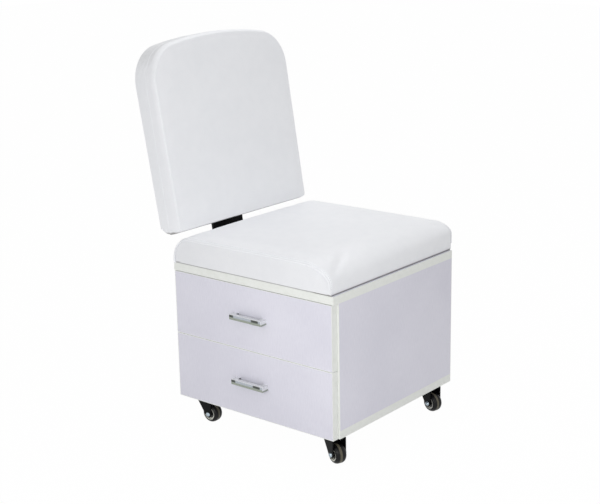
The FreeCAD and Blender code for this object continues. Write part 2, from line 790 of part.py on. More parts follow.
def inner_member(side, z):
    """The drawer's half of a slide."""
    member = channel(size.slide_inner_depth, inner_height, side,
                     side * size.box_half_width, size.slide_length)
    member.translate(Vector(size.slide_start, 0, z))
    return member


def drilled(member, spots, y, side):
    """A slide member with its screw holes."""
    for x, z in spots:
        start = Vector(number(x), y, number(z))
        member = member.cut(Part.makeCylinder(size.small_screw_radius + size.thread_clearance,
                                              size.slide_metal, start, Vector(0, side, 0)))
    return member


def cage_and_balls(side, z):
    """A ball cage: a web with two flanges, and the balls that sit in its holes."""
    middle = size.slide_start + size.slide_length / 2
    start = middle - size.slide_cage_length / 2
    half = ball_height + size.slide_cage_metal / 2
    web_y = size.inside_half_depth - size.slide_cage_offset
    depth = ball_line + ball_radius / 2 - size.slide_cage_offset
    metal = size.slide_cage_metal
    profile = [(0, -half), (depth, -half), (depth, metal - half), (metal, metal - half),
               (metal, half - metal), (depth, half - metal), (depth, half), (0, half)]
    points = [Vector(start, side * (web_y - out), z + up) for out, up in profile]
    cage = polygon_prism(points, Vector(size.slide_cage_length, 0, 0))
    balls = []
    count = int(size.slide_ball_rows)
    for n in range(count):
        x = middle + (n - (count - 1) / 2) * size.slide_ball_pitch
        for up in (-ball_height, ball_height):
            centre = Vector(x, side * (size.inside_half_depth - ball_line), z + up)
            balls.append(Part.makeSphere(ball_radius, centre))
            cage = cage.cut(Part.makeSphere(ball_radius + size.slide_ball_clearance, centre))
    return [cage, *balls]


outers, cabinet_slide_screws = [], []
for drawer, front in DRAWERS.items():
    spots = slide_screw_spots(front + "_bottom")
    middle_z = number(spots[0][1])
    cages = []
    for side in (-1, 1):
        wall = side * size.inside_half_depth
        outers.append(drilled(outer_member(side, middle_z), spots, wall, -side))
        face = wall - side * size.slide_metal
        for spot_x, spot_z in spots:
            point = Vector(number(spot_x), face, number(spot_z))
            cabinet_slide_screws.append(headed(
                point, Vector(0, side, 0), size.small_screw_radius,
                size.screw_bite + size.slide_metal,
                size.small_screw_head_radius, size.small_screw_head_height))
        cages += cage_and_balls(side, middle_z)
    keep(feature(drawer + "_cage_set", Part.makeCompound(cages)), drawer + "_slide_cages")
keep(feature("outer_member_set", Part.makeCompound(outers)), "slide_outer_members")
keep(feature("slide_screw_set", Part.makeCompound(cabinet_slide_screws)), "slide_screws")


# ------------------------------------------------------------------------ drawers
def handle_spots():
    """Y of the two handle screws."""
    return [f"front_middle + {side} * (handle_length - handle_leg) / 2" for side in (-1, 1)]


def front_screw_spots(front):
    """Y and Z of the four screws between the box and the drawer front."""
    z = f"{front}_bottom + slide_rise"
    return [(f"{side} * front_screw_span / 2", f"{z} + {up} * front_screw_pitch / 2")
            for side in (-1, 1) for up in (-1, 1)]


def handle(label, front):
    """A square-cornered pull: a block with the finger gap cut through it."""
    body = doc.addObject("PartDesign::Body", label + "_body")
    outline = sketch_on(body, label + "_outline", "XY_Plane")
    rectangle(outline, "-half_width - handle_projection", "front_middle - handle_length / 2",
              "handle_projection", "handle_length")
    block = body.newObject("PartDesign::Pad", label + "_block")
    block.Profile = outline
    bind(block, Length="handle_height")
    doc.recompute()
    gap = sketch_on(body, label + "_gap_outline", "XY_Plane")
    rectangle(gap, "-half_width - handle_projection + handle_section",
              "front_middle - handle_length / 2 + handle_leg",
              "handle_projection - handle_section + 1", "handle_length - 2 * handle_leg")
    opening = body.newObject("PartDesign::Pocket", label + "_gap")
    opening.Profile = gap
    opening.Reversed = True
    bind(opening, Length="handle_height")
    doc.recompute()
    if opening.Shape.Volume >= block.Shape.Volume:
        raise RuntimeError("the handle's finger gap cuts nothing")
    outer_x = -size.half_width - size.handle_projection
    rim = [f"Edge{n}" for n, edge in enumerate(opening.Shape.Edges, start=1)
           if abs(edge.CenterOfMass.x - outer_x) < 0.01]
    soften = body.newObject("PartDesign::Fillet", label + "_softened")
    soften.Base = (opening, rim)
    bind(soften, Radius="handle_edge_radius")
    body.Tip = soften
    bind(body, Placement__Base__z=f"{front}_bottom + {front}_height / 2 + handle_rise"
                                  " - handle_height / 2")
    return body


def drawer(name, front):
    """One drawer: box, front, edging, handle, slide members and screws."""
    base = f"{front}_bottom + drawer_box_rise"
    handle_z = f"{front}_bottom + {front}_height / 2 + handle_rise"
    inner_y = "(box_half_width - drawer_board)"
    edge = "edging_thickness"

    # front board and its edging
    front_y = "front_reveal_left - half_depth"
    blank = box(name + "_front_blank", "-half_width", f"{front_y} + {edge}", f"{front}_bottom + {edge}",
                "front_thickness", f"front_width - 2 * {edge}", f"{front}_height - 2 * {edge}")
    holes = [rod("handle_hole", "-half_width", y, handle_z, wood_hole, "front_thickness", "X")
             for y in handle_spots()]
    holes += [rod("front_pilot", "box_front - screw_bite", y, z, wood_hole, "screw_bite", "X")
              for y, z in front_screw_spots(front)]
    keep(cut(name + "_front_drilled", blank, holes), name + "_drawer_front")
    keep(bundle(name + "_front_strips", [
        box("front_strip", "-half_width", front_y, z, "front_thickness", "front_width", edge)
        for z in (f"{front}_bottom", f"{front}_bottom + {front}_height - {edge}")
    ] + [
        box("front_strip", "-half_width", y, f"{front}_bottom + {edge}", "front_thickness", edge,
            f"{front}_height - 2 * {edge}")
        for y in (front_y, f"{front_y} + front_width - {edge}")
    ]), name + "_drawer_edging")

    # box: two grooved sides, two grooved ends, and the bottom in the grooves
    groove_z = f"{base} + drawer_groove_rise - groove_clearance"
    groove = box(name + "_groove", "box_front + drawer_board - drawer_groove_depth",
                 f"drawer_groove_depth * -1 - {inner_y}", groove_z,
                 "drawer_box_length - 2 * drawer_board + 2 * drawer_groove_depth",
                 f"2 * {inner_y} + 2 * drawer_groove_depth",
                 "drawer_bottom_thickness + 2 * groove_clearance")
    sides = []
    for side in (-1, 1):
        y = "-box_half_width" if side < 0 else inner_y
        board = box(name + "_side", "box_front", y, base, "drawer_box_length", "drawer_board",
                    "drawer_box_height")
        start = "-box_half_width" if side < 0 else "box_half_width - screw_bite"
        pilots = [rod("slide_pilot", x, start, z, "small_screw_radius + thread_clearance",
                      "screw_bite", "Y") for x, z in slide_screw_spots(front + "_bottom")]
        sides.append(cut(name + "_grooved_side", board, [groove, *pilots]))
    keep(bundle(name + "_side_pair", sides), name + "_drawer_sides")
    through = [rod("handle_hole", "box_front", y, handle_z, wood_hole, "drawer_board", "X")
               for y in handle_spots()]
    through += [rod("front_hole", "box_front", y, z, wood_hole, "drawer_board", "X")
                for y, z in front_screw_spots(front)]
    ends = []
    for x, drilling in (("box_front", through), ("box_front + drawer_box_length - drawer_board", [])):
        board = box(name + "_end", x, f"-1 * {inner_y}", base, "drawer_board", f"2 * {inner_y}",
                    "drawer_box_height")
        ends.append(cut(name + "_grooved_end", board, [groove, *drilling]))
    keep(bundle(name + "_end_pair", ends), name + "_drawer_ends")
    reach = "(drawer_groove_depth - groove_clearance)"
    keep(box(name + "_bottom_sheet", f"box_front + drawer_board - {reach}",
             f"-1 * {inner_y} - {reach}", f"{base} + drawer_groove_rise",
             f"drawer_box_length - 2 * drawer_board + 2 * {reach}", f"2 * {inner_y} + 2 * {reach}",
             "drawer_bottom_thickness"), name + "_drawer_bottom")

    # slide members and all the drawer's wood screws
    spots = slide_screw_spots(front + "_bottom")
    middle_z = number(spots[0][1])
    members, screws = [], []
    for side in (-1, 1):
        wall = side * size.box_half_width
        members.append(drilled(inner_member(side, middle_z), spots, wall, side))
        for x, z in spots:
            point = Vector(number(x), wall + side * size.slide_metal, number(z))
            screws.append(headed(
                point, Vector(0, -side, 0), size.small_screw_radius,
                size.screw_bite + size.slide_metal,
                size.small_screw_head_radius, size.small_screw_head_height))
    inside = size.box_front + size.drawer_board
    towards_front = Vector(-1, 0, 0)
    for y, z in front_screw_spots(front):
        screws.append(headed(Vector(inside, number(y), number(z)), towards_front, size.screw_radius,
                             size.drawer_board + size.screw_bite,
                             size.screw_head_radius, size.screw_head_height))
    keep(feature(name + "_inner_members", Part.makeCompound(members)), name + "_slide_inner_members")
    keep(feature(name + "_screw_set", Part.makeCompound(screws)), name + "_drawer_screws")

    # handle and its two machine screws, which go through the box's end and the front
    pull = handle(name + "_handle", front)
    handle_screws, tapped = [], []
    for y in handle_spots():
        point = Vector(inside, number(y), number(handle_z))
        length = size.drawer_board + size.front_thickness + size.handle_section
        handle_screws.append(headed(point, towards_front, size.screw_radius, length,
                                    size.screw_head_radius, size.screw_head_height))
        tapped.append(rod("tapped_hole", "-half_width - handle_section", y, handle_z, wood_hole,
                          "handle_section", "X"))
    keep(cut(name + "_handle_tapped", pull, tapped), name + "_handle")
    keep(feature(name + "_handle_screw_pair", Part.makeCompound(handle_screws)),
         name + "_handle_screws")


for drawer_name, drawer_front in DRAWERS.items():
    drawer(drawer_name, drawer_front)


# ------------------------------------------------------------------------ casters
# Caster pieces are made with the kingpin on the Z axis, trailing towards -Y, with
# the axle along X, and are then turned to their heading and moved to their corner.
def leading_edge():
    """The sloping edge of a cheek: its top corner and where it touches the boss."""
    axle = Vector(0, -size.caster_trail, size.wheel_radius)
    lead = Vector(0, size.fork_cheek_lead, size.fork_head_top)
    to_lead = lead - axle
    angle = math.atan2(to_lead.z, to_lead.y) - math.acos(size.fork_axle_boss / to_lead.Length)
    return lead, axle + Vector(0, math.cos(angle), math.sin(angle)) * size.fork_axle_boss


def cheek(side):
    """One fork cheek: wide at the head, narrowing to a round boss at the axle."""
    boss = size.fork_axle_boss
    axle = Vector(0, -size.caster_trail, size.wheel_radius)
    lead, touch = leading_edge()
    tail = axle + Vector(0, -boss, 0)
    tail_top = Vector(0, tail.y, size.fork_head_top)
    wire = Part.Wire([
        Part.makeLine(lead, touch),
        Part.Arc(touch, axle + DOWN * boss, tail).toShape(),
        Part.makeLine(tail, tail_top),
        Part.makeLine(tail_top, lead),
    ])
    plate = Part.Face(wire).extrude(Vector(size.fork_metal, 0, 0))
    start = size.fork_gap / 2 if side > 0 else -size.fork_gap / 2 - size.fork_metal
    plate.translate(Vector(start, 0, 0))
    return plate


def fork_web():
    """The sloping plate that joins the cheeks' leading edges, cut round the tread and kingpin."""
    lead, touch = leading_edge()
    axle = Vector(0, -size.caster_trail, size.wheel_radius)
    climb = (lead - touch).normalize()
    inner = touch + (axle - touch).normalize() * size.fork_metal
    foot_radius = size.wheel_radius - size.fork_web_reach
    start = math.sqrt(foot_radius ** 2 - (size.fork_axle_boss - size.fork_metal) ** 2)
    end = (size.fork_head_underside - touch.z) / climb.z
    corners = [inner + climb * start, inner + climb * end, touch + climb * end, touch + climb * start]
    plate = polygon_prism(corners, Vector(size.fork_gap, 0, 0))
    plate.translate(Vector(-size.fork_gap / 2, 0, 0))
    notch_height = size.kingpin_head_height + size.running_clearance + size.kingpin_headroom
    notch = Part.makeCylinder(size.kingpin_head_radius + size.kingpin_headroom, notch_height,
                              Vector(0, 0, size.fork_head_underside - notch_height))
    return plate.cut([notch, tread_ring(size.fork_web_gap)])


def fork():
    """The stamped fork: flat head with a skirt round the balls, two cheeks and a web."""
    width = size.fork_gap + 2 * size.fork_metal
    head = Part.makeBox(width, size.fork_head_length, size.fork_head_thickness,
                        Vector(-width / 2, -size.fork_head_length / 2, size.fork_head_underside))
    skirt_height = size.swivel_gap - size.swivel_skirt_gap
    skirt_foot = Vector(0, 0, size.fork_head_top)
    skirt = Part.makeCylinder(size.fork_skirt_radius, skirt_height, skirt_foot)
    skirt = skirt.cut(Part.makeCylinder(size.fork_skirt_radius - size.fork_skirt_width,
                                        skirt_height, skirt_foot))
    body = head.fuse([skirt, cheek(-1), cheek(1), fork_web()])
    body = body.cut(Part.makeCylinder(size.kingpin_radius + size.running_clearance,
                                      size.caster_height, Vector()))
    axle_start = Vector(-width / 2, -size.caster_trail, size.wheel_radius)
    return body.cut(Part.makeCylinder(size.axle_radius + size.running_clearance, width,
                                      axle_start, Vector(1, 0, 0)))


def turned(profile):
    """A solid turned about the axle from (out along X, radius) points."""
    points = [Vector(x, -size.caster_trail, size.wheel_radius + r) for x, r in profile]
    face = Part.Face(Part.makePolygon([*points, points[0]]))
    centre = Vector(0, -size.caster_trail, size.wheel_radius)
    return face.revolve(centre, Vector(1, 0, 0), 360)


def tread_ring(room=0):
    """A ring with rounded shoulders: the tread, or the room that it needs all round."""
    half = size.wheel_width / 2 + room
    crown = size.wheel_radius + room
    core = size.wheel_radius - size.tyre_crown_radius - 1
    ring = turned([(-half, core), (half, core), (half, crown), (-half, crown)])
    shoulders = [edge for edge in ring.Edges
                 if edge.Curve.TypeId == "Part::GeomCircle"
                 and abs(edge.Curve.Radius - crown) < 0.01]
    return ring.makeFillet(size.tyre_crown_radius + room, shoulders)


def tyre():
    """The tread, bored for the hub."""
    foot = Vector(-size.wheel_width / 2, -size.caster_trail, size.wheel_radius)
    bore = Part.makeCylinder(size.hub_radius, size.wheel_width, foot, Vector(1, 0, 0))
    return tread_ring().cut(bore)


def hub():
    """The hub: rim, recessed web and a boss that runs on the axle."""
    rim, web, boss = size.hub_rim_width / 2, size.hub_web_width / 2, size.hub_boss_width / 2
    bore = size.axle_radius + size.running_clearance
    right = [(boss, bore), (boss, size.hub_boss_radius), (web, size.hub_boss_radius),
             (web, size.hub_web_radius), (rim, size.hub_web_radius), (rim, size.hub_radius)]
    return turned(right + [(-x, r) for x, r in reversed(right)])


def axle():
    """The axle bolt: a domed head on one side and a hexagon nut on the other."""
    half = size.fork_gap / 2 + size.fork_metal
    along = Vector(1, 0, 0)
    centre = Vector(0, -size.caster_trail, size.wheel_radius)
    rise, nut_rise = size.axle_head_height, size.axle_nut_height
    shank = Part.makeCylinder(size.axle_radius, 2 * half + nut_rise, centre - along * half, along)
    dome_radius = (size.axle_head_radius ** 2 + rise ** 2) / (2 * rise)
    dome = Part.makeSphere(dome_radius, centre - along * (half + rise - dome_radius))
    keep_side = Part.makeCylinder(size.axle_head_radius, rise, centre - along * half, along * -1)
    corners = [Vector(half, centre.y + size.axle_head_radius * math.cos(a),
                      centre.z + size.axle_head_radius * math.sin(a))
               for a in (math.radians(60 * n) for n in range(6))]
    nut = polygon_prism(corners, along * nut_rise)
    return shank.fuse([dome.common(keep_side), nut])


def kingpin():
    """The rivet the fork swivels on: shank through the plate, head under the fork."""
    head_top = size.fork_head_underside - size.running_clearance
    head_foot = Vector(0, 0, head_top - size.kingpin_head_height)
    head = Part.makeCylinder(size.kingpin_head_radius, size.kingpin_head_height, head_foot)
    return head.fuse(Part.makeCylinder(size.kingpin_radius, size.caster_height - head_foot.z,
                                       head_foot))


def swivel_balls():
    """The balls between the caster plate and the fork's head."""
    radius = size.swivel_gap / 2 - size.running_clearance
    height = size.fork_head_top + size.swivel_gap / 2
    count = int(size.swivel_ball_count)
    return [Part.makeSphere(radius, Vector(
        size.swivel_ball_circle * math.cos(2 * math.pi * n / count),
        size.swivel_ball_circle * math.sin(2 * math.pi * n / count), height))
        for n in range(count)]


def placed(shape, place):
    """A copy of a shape at a placement."""
    copy = shape.copy()
    copy.Placement = place
    return copy


kingpins, balls = [], []
for corner_name, (spot_x, spot_y, turn) in caster_spots().items():
    post = Vector(number(spot_x), number(spot_y), 0)
    heading = Placement(post, Rotation(Vector(0, 0, 1), getattr(size, turn)))
    for piece, make in {"fork": fork, "axle": axle, "tyre": tyre, "hub": hub}.items():
        label = f"{corner_name}_{piece}"
        keep(feature(label + "_shape", make(), heading), label)
    kingpins.append(placed(kingpin(), Placement(post, Rotation())))
    balls += [placed(ball, Placement(post + ball.Placement.Base, Rotation())) for ball in swivel_balls()]
keep(feature("kingpin_set", Part.makeCompound(kingpins)), "caster_kingpins")
keep(feature("swivel_ball_set", Part.makeCompound(balls)), "caster_swivel_balls")

plates = []
for spot_x, spot_y, turn in caster_spots().values():
    half_plate = "caster_plate_width / 2"
    plate_blank = box("plate_blank", f"{spot_x} - {half_plate}", f"{spot_y} - {half_plate}",
                      "caster_plate_underside", "caster_plate_width", "caster_plate_width",
                      "caster_plate_thickness")
    drills = [rod("kingpin_hole", spot_x, spot_y, "caster_plate_underside",
                  "kingpin_radius + thread_clearance", "caster_plate_thickness")]
    drills += [rod("plate_hole", f"{spot_x} + {a} * caster_screw_span / 2",
                   f"{spot_y} + {b} * caster_screw_span / 2", "caster_plate_underside", wood_hole,
                   "caster_plate_thickness") for a in (-1, 1) for b in (-1, 1)]
    plates.append(cut("plate_drilled", plate_blank, drills))
keep(bundle("plate_set", plates), "caster_plates")
keep(feature("caster_screw_set", Part.makeCompound([
    headed(Vector(number(x), number(y), size.caster_plate_underside), UP, size.screw_radius,
           size.caster_plate_thickness + size.screw_bite,
           size.caster_screw_head_radius, size.screw_head_height)
    for x, y in caster_screw_spots()
])), "caster_screws")

# ------------------------------------------------------------------------- output
doc.recompute()
for thing in doc.Objects:
    if {"Invalid", "Error"} & set(thing.State):
        raise RuntimeError(f"{thing.Label} failed: {thing.State}")
for thing in sub_parts:
    if thing.Shape.isNull() or not thing.Shape.isValid():
        raise RuntimeError(f"{thing.Label} has no valid shape")
    if not thing.Shape.Solids:
        raise RuntimeError(f"{thing.Label} holds no solid")
for thing in sub_parts:
    thing.Shape.exportStep(f"parts/{thing.Label}.step")
print(len(sub_parts), "sub-parts written")
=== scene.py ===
"""Finishes, upholstery, fastenings and studio of a rolling pedicure stool.

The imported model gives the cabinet, drawers, casters and bar. This script covers the
seat and the backrest, dresses every board and fitting, and sets the lights and camera.
Lengths are metres in the model's frame: +Z up, the sitter faces -Y, drawers open to -X.
"""
from __future__ import annotations

import json
import logging
import math
from collections.abc import Callable, Sequence
from dataclasses import dataclass, field
from enum import Enum

import bmesh
import bpy
import numpy as np
from mathutils import Matrix, Vector
from mathutils.bvhtree import BVHTree
from mathutils.kdtree import KDTree


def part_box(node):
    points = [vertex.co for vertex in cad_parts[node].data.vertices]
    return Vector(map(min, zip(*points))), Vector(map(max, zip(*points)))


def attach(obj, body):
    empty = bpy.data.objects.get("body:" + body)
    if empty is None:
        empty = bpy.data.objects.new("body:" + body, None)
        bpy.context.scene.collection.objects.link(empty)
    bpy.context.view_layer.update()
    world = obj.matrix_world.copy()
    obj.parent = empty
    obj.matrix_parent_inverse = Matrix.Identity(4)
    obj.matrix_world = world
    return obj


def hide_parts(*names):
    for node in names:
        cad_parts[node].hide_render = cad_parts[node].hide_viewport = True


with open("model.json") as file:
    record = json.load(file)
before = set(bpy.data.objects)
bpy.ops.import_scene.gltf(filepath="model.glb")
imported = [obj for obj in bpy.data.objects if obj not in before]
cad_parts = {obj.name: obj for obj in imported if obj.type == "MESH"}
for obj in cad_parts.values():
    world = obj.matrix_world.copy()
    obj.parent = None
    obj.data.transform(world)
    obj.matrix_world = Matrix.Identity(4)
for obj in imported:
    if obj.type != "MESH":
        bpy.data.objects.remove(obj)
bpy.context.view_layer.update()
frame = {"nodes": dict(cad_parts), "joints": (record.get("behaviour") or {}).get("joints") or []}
MM = 0.001
TINY = 1e-9             # stands for no length
NOISE_MEAN = 0.5        # the value about which a noise pattern varies
PLATEAU = 0.6           # share of a fading's reach that it passes before it falls
SHORT_PLATEAU = 0.5     # the same where it falls sooner
PAINTED_SHADE = "painted_shade"       # the attribute that holds how much painted shade a point takes

log = logging.getLogger("pedicure_stool")

Colour = tuple[float, float, float, float]
Points = np.ndarray


# ------------------------------------------------------------------ node building
def shade(red: int, green: int, blue: int) -> Colour:
    """Turns display values from 0 to 255 into the linear colour that a shader takes.

    Args:
        red: Display value of red.
        green: Display value of green.
        blue: Display value of blue.

    Returns:
        The linear colour with full opacity.
    """
    brightest, toe, slope, shift, power = 255, 0.04045, 12.92, 0.055, 2.4
    linear = [
        value / slope if value <= toe else ((value + shift) / (1 + shift)) ** power
        for value in (channel / brightest for channel in (red, green, blue))
    ]
    return linear[0], linear[1], linear[2], 1.0


class Graph:
    """A node tree and the one way in which this script adds a node to it."""

    def __init__(self, tree: bpy.types.NodeTree) -> None:
        """Keeps the tree that the nodes go to."""
        self.tree = tree

    def node(self, kind: str, settings: dict | None = None,
             sockets: dict | None = None) -> bpy.types.Node:
        """Adds a node.

        Args:
            kind: The node's type.
            settings: Properties that are set before any socket.
            sockets: Values or links of the inputs, by name or number.

        Returns:
            The new node.
        """
        made = self.tree.nodes.new(kind)
        for name, value in (settings or {}).items():
            setattr(made, name, value)
        for name, value in (sockets or {}).items():
            if isinstance(value, Value):
                value = value.socket
            if isinstance(value, bpy.types.NodeSocket):
                self.tree.links.new(value, made.inputs[name])
            else:
                made.inputs[name].default_value = value
        return made


class Value:
    """A number on a socket, for arithmetic written as plain expressions."""

    def __init__(self, graph: Graph, socket: bpy.types.NodeSocket) -> None:
        """Wraps a socket of a graph."""
        self.graph = graph
        self.socket = socket

    def maths(self, operation: str, *terms: Value | float) -> Value:
        """Adds one Math node.

        Args:
            operation: The node's operation.
            terms: Its inputs in order.

        Returns:
            The result.
        """
        made = self.graph.node("ShaderNodeMath", {"operation": operation},
                               dict(enumerate(terms)))
        return Value(self.graph, made.outputs[0])

    def __add__(self, other: Value | float) -> Value:
        """Adds."""
        return self.maths("ADD", self, other)

    __radd__ = __add__

    def __sub__(self, other: Value | float) -> Value:
        """Subtracts."""
        return self.maths("SUBTRACT", self, other)

    def __rsub__(self, other: Value | float) -> Value:
        """Subtracts from the other."""
        return self.maths("SUBTRACT", other, self)

    def __mul__(self, other: Value | float) -> Value:
        """Multiplies."""
        return self.maths("MULTIPLY", self, other)

    __rmul__ = __mul__

    def __abs__(self) -> Value:
        """Drops the sign."""
        return self.maths("ABSOLUTE", self)

    def root(self) -> Value:
        """Takes the square root."""
        return self.maths("SQRT", self)

    def least(self, other: Value | float) -> Value:
        """Takes the smaller."""
        return self.maths("MINIMUM", self, other)

    def ramp(self, start: float, end: float) -> Value:
        """Rises smoothly from 0 to 1.

        Args:
            start: Where it is 0.
            end: Where it is 1, above or below the start.

        Returns:
            The ramp's value.
        """
        made = self.graph.node("ShaderNodeMapRange", {"interpolation_type": "SMOOTHSTEP"},
                               {"Value": self, "From Min": min(start, end),
                                "From Max": max(start, end)})
        rising = Value(self.graph, made.outputs[0])
        return rising if start < end else 1.0 - rising


class Paint(Graph):
    """A material's graph: patterns, colour mixes and the surface."""

    def __init__(self, name: str) -> None:
        """Makes the material and clears its tree.

        Args:
            name: The material's name.
        """
        self.material = bpy.data.materials.new(name)
        self.material.use_nodes = True
        super().__init__(self.material.node_tree)
        self.tree.nodes.clear()
        self.place = self.node("ShaderNodeTexCoord").outputs["Object"]
        split = self.node("ShaderNodeSeparateXYZ", None, {"Vector": self.place})
        self.x, self.y, self.z = (Value(self, axis) for axis in split.outputs)

    def stretched(self, scale: Sequence[float],
                  turn: Sequence[float] = (0, 0, 0)) -> bpy.types.NodeSocket:
        """Gives the place turned and then scaled along each axis."""
        turned = self.node("ShaderNodeMapping", {"vector_type": "POINT"},
                           {"Vector": self.place, "Rotation": turn})
        return self.node("ShaderNodeMapping", None,
                         {"Vector": turned.outputs[0], "Scale": scale}).outputs[0]

    def noise(self, scale: float, detail: float = 2.0,
              place: bpy.types.NodeSocket | None = None) -> Value:
        """Adds a noise pattern about 0.5.

        Args:
            scale: Features in a metre.
            detail: Octaves.
            place: The coordinates, or none for the plain ones.

        Returns:
            The pattern's value.
        """
        made = self.node("ShaderNodeTexNoise", None,
                         {"Vector": place or self.place, "Scale": scale, "Detail": detail})
        return Value(self, made.outputs[0])

    def cells(self, scale: float, place: bpy.types.NodeSocket | None = None) -> Value:
        """Adds rounded cells, 0 at each middle, as many as scale in a metre."""
        made = self.node("ShaderNodeTexVoronoi", {"feature": "SMOOTH_F1"},
                         {"Vector": place or self.place, "Scale": scale})
        return Value(self, made.outputs["Distance"])

    def blend(self, share: Value | float, first: Colour | bpy.types.NodeSocket,
              second: Colour | bpy.types.NodeSocket) -> bpy.types.NodeSocket:
        """Mixes two colours, all of the second where share is 1."""
        made = self.node("ShaderNodeMix", {"data_type": "RGBA"},
                         {0: share, 6: first, 7: second})
        return made.outputs[2]

    def relief(self, height: Value, depth: float, under: bpy.types.NodeSocket | None = None
               ) -> bpy.types.NodeSocket:
        """Raises the surface by a pattern.

        Args:
            height: The pattern.
            depth: Metres of relief where the pattern runs from 0 to 1.
            under: An earlier relief that this one lies on.

        Returns:
            The normal.
        """
        sockets = {"Height": height, "Distance": depth, "Strength": 1.0}
        if under is not None:
            sockets["Normal"] = under
        return self.node("ShaderNodeBump", None, sockets).outputs[0]

    def surface(self, **sockets: object) -> bpy.types.Material:
        """Ends the material in one Principled surface.

        Args:
            sockets: Values or links by socket, with underscores for spaces.

        Returns:
            The material.
        """
        named = {name.replace("_", " "): value for name, value in sockets.items()}
        skin = self.node("ShaderNodeBsdfPrincipled", None, named)
        self.node("ShaderNodeOutputMaterial", None, {"Surface": skin.outputs[0]})
        return self.material


# ----------------------------------------------------------------------- finishes
@dataclass(frozen=True)
class Finish:
    """A named finish that makes its material once."""

    name: str

    def material(self) -> bpy.types.Material:
        """Gives the finish's material, painted on the first call."""
        return bpy.data.materials.get(self.name) or self.paint(Paint(self.name))

    def paint(self, paint: Paint) -> bpy.types.Material:
        """Paints the material."""
        raise NotImplementedError


@dataclass(frozen=True)
class Melamine(Finish):
    """Melamine face on chipboard: a fine pressed grain, a little uneven in tone."""

    face: Colour = shade(226, 225, 235)
    shaded: Colour = shade(217, 216, 227)
    roughness: float = 0.42
    uneven_roughness: float = 0.12
    grain: float = 620.0
    grain_stretch: tuple[float, float, float] = (1.0, 1.0, 0.12)
    pebbles: float = 1860.0
    clouds: float = 5.0
    cloud_share: float = 0.55
    fibre_share: float = 0.45
    contrast: tuple[float, float] = (0.32, 0.68)
    depth: float = 0.03 * MM
    specular: float = 0.4

    def paint(self, paint: Paint) -> bpy.types.Material:
        """Paints fine upright grain over slow clouds of tone.

        Args:
            paint: The material's graph.

        Returns:
            The material.
        """
        cloud = paint.noise(self.clouds)
        fibre = paint.noise(self.grain, detail=3.0, place=paint.stretched(self.grain_stretch))
        pebble = paint.noise(self.pebbles)
        share = (cloud * self.cloud_share + fibre * self.fibre_share).ramp(*self.contrast)
        tone = paint.blend(share, self.shaded, self.face)
        return paint.surface(
            Base_Color=tone,
            Roughness=self.roughness + (fibre - NOISE_MEAN) * self.uneven_roughness,
            Normal=paint.relief(pebble + fibre, self.depth), Specular_IOR_Level=self.specular)


@dataclass(frozen=True)
class EdgeBand(Finish):
    """Glued plastic banding: plain, slightly waxy, with painted light along a joint of two fronts.
    """

    tape: Colour = shade(234, 236, 232)
    worn: Colour = shade(223, 226, 219)
    # the colour of the painted light along the joint of the two drawer fronts
    bright: Colour = shade(246, 248, 246)
    joint: float | None = None
    joint_reach: tuple[float, float] = (1.5 * MM, 0.9 * MM)
    marks: float = 90.0
    mark_contrast: tuple[float, float] = (0.35, 0.75)
    mark_share: float = 0.4
    pores: float = 1400.0
    depth: float = 0.02 * MM
    roughness: float = 0.36
    uneven_roughness: float = 0.16

    def paint(self, paint: Paint) -> bpy.types.Material:
        """Paints faint marks, and a pale line of painted light at the height of the joint.

        Args:
            paint: The material's graph.

        Returns:
            The material.
        """
        marks = paint.noise(self.marks)
        pores = paint.noise(self.pores)
        tone = paint.blend(marks.ramp(*self.mark_contrast) * self.mark_share,
                           self.tape, self.worn)
        # painted light: a pale line on the banding where the two drawer fronts meet
        if self.joint is not None:
            painted_light_share = abs(paint.z - self.joint).ramp(*self.joint_reach)
            tone = paint.blend(painted_light_share, tone, self.bright)
        return paint.surface(
            Base_Color=tone,
            Roughness=self.roughness + (marks - NOISE_MEAN) * self.uneven_roughness,
            Normal=paint.relief(pores, self.depth))


@dataclass(frozen=True)
class SyntheticLeather(Finish):
    """Grained vinyl leather with soft dents, and painted shade where the mesh marks it."""

    face: Colour = shade(244, 245, 248)
    hollow: Colour = shade(232, 234, 238)
    shadow: Colour = shade(96, 92, 86)
    grain: float = 850.0
    grain_depth: float = 0.09 * MM
    pores: float = 2040.0
    pore_share: float = 0.4
    dents: float = 48.0
    dent_depth: float = 0.4 * MM
    waves: float = 9.0
    wave_depth: float = 0.6 * MM
    tone_shares: tuple[float, float, float] = (0.4, 0.3, 0.3)
    contrast: tuple[float, float] = (0.25, 0.75)
    hollow_share: float = 0.5
    roughness: float = 0.46
    uneven_roughness: float = 0.12
    specular: float = 0.42

    def paint(self, paint: Paint) -> bpy.types.Material:
        """Paints pebble grain, slow unevenness and the painted shade that the mesh marks.

        Args:
            paint: The material's graph.

        Returns:
            The material.
        """
        pebble = paint.cells(self.grain)
        pores = paint.noise(self.pores)
        dents = paint.noise(self.dents, detail=3.0)
        waves = paint.noise(self.waves)
        by_wave, by_dent, by_pebble = self.tone_shares
        mixed = waves * by_wave + dents * by_dent + pebble * by_pebble
        tone = paint.blend(mixed.ramp(*self.contrast) * self.hollow_share,
                           self.face, self.hollow)
        # painted shade: the mesh's attribute darkens the leather towards the shadow colour at the
        # hem and foot, on the seat's side panels and on the top of the backrest's band
        marked = paint.node("ShaderNodeAttribute", {"attribute_name": PAINTED_SHADE})
        painted_shade = Value(paint, marked.outputs["Fac"])
        tone = paint.blend(painted_shade.least(1.0), tone, self.shadow)
        grained = paint.relief(pebble * -1.0 + pores * self.pore_share, self.grain_depth)
        dented = paint.relief(dents, self.dent_depth, grained)
        return paint.surface(
            Base_Color=tone,
            Roughness=self.roughness + (dents - NOISE_MEAN) * self.uneven_roughness,
            Normal=paint.relief(waves, self.wave_depth, dented),
            Specular_IOR_Level=self.specular)


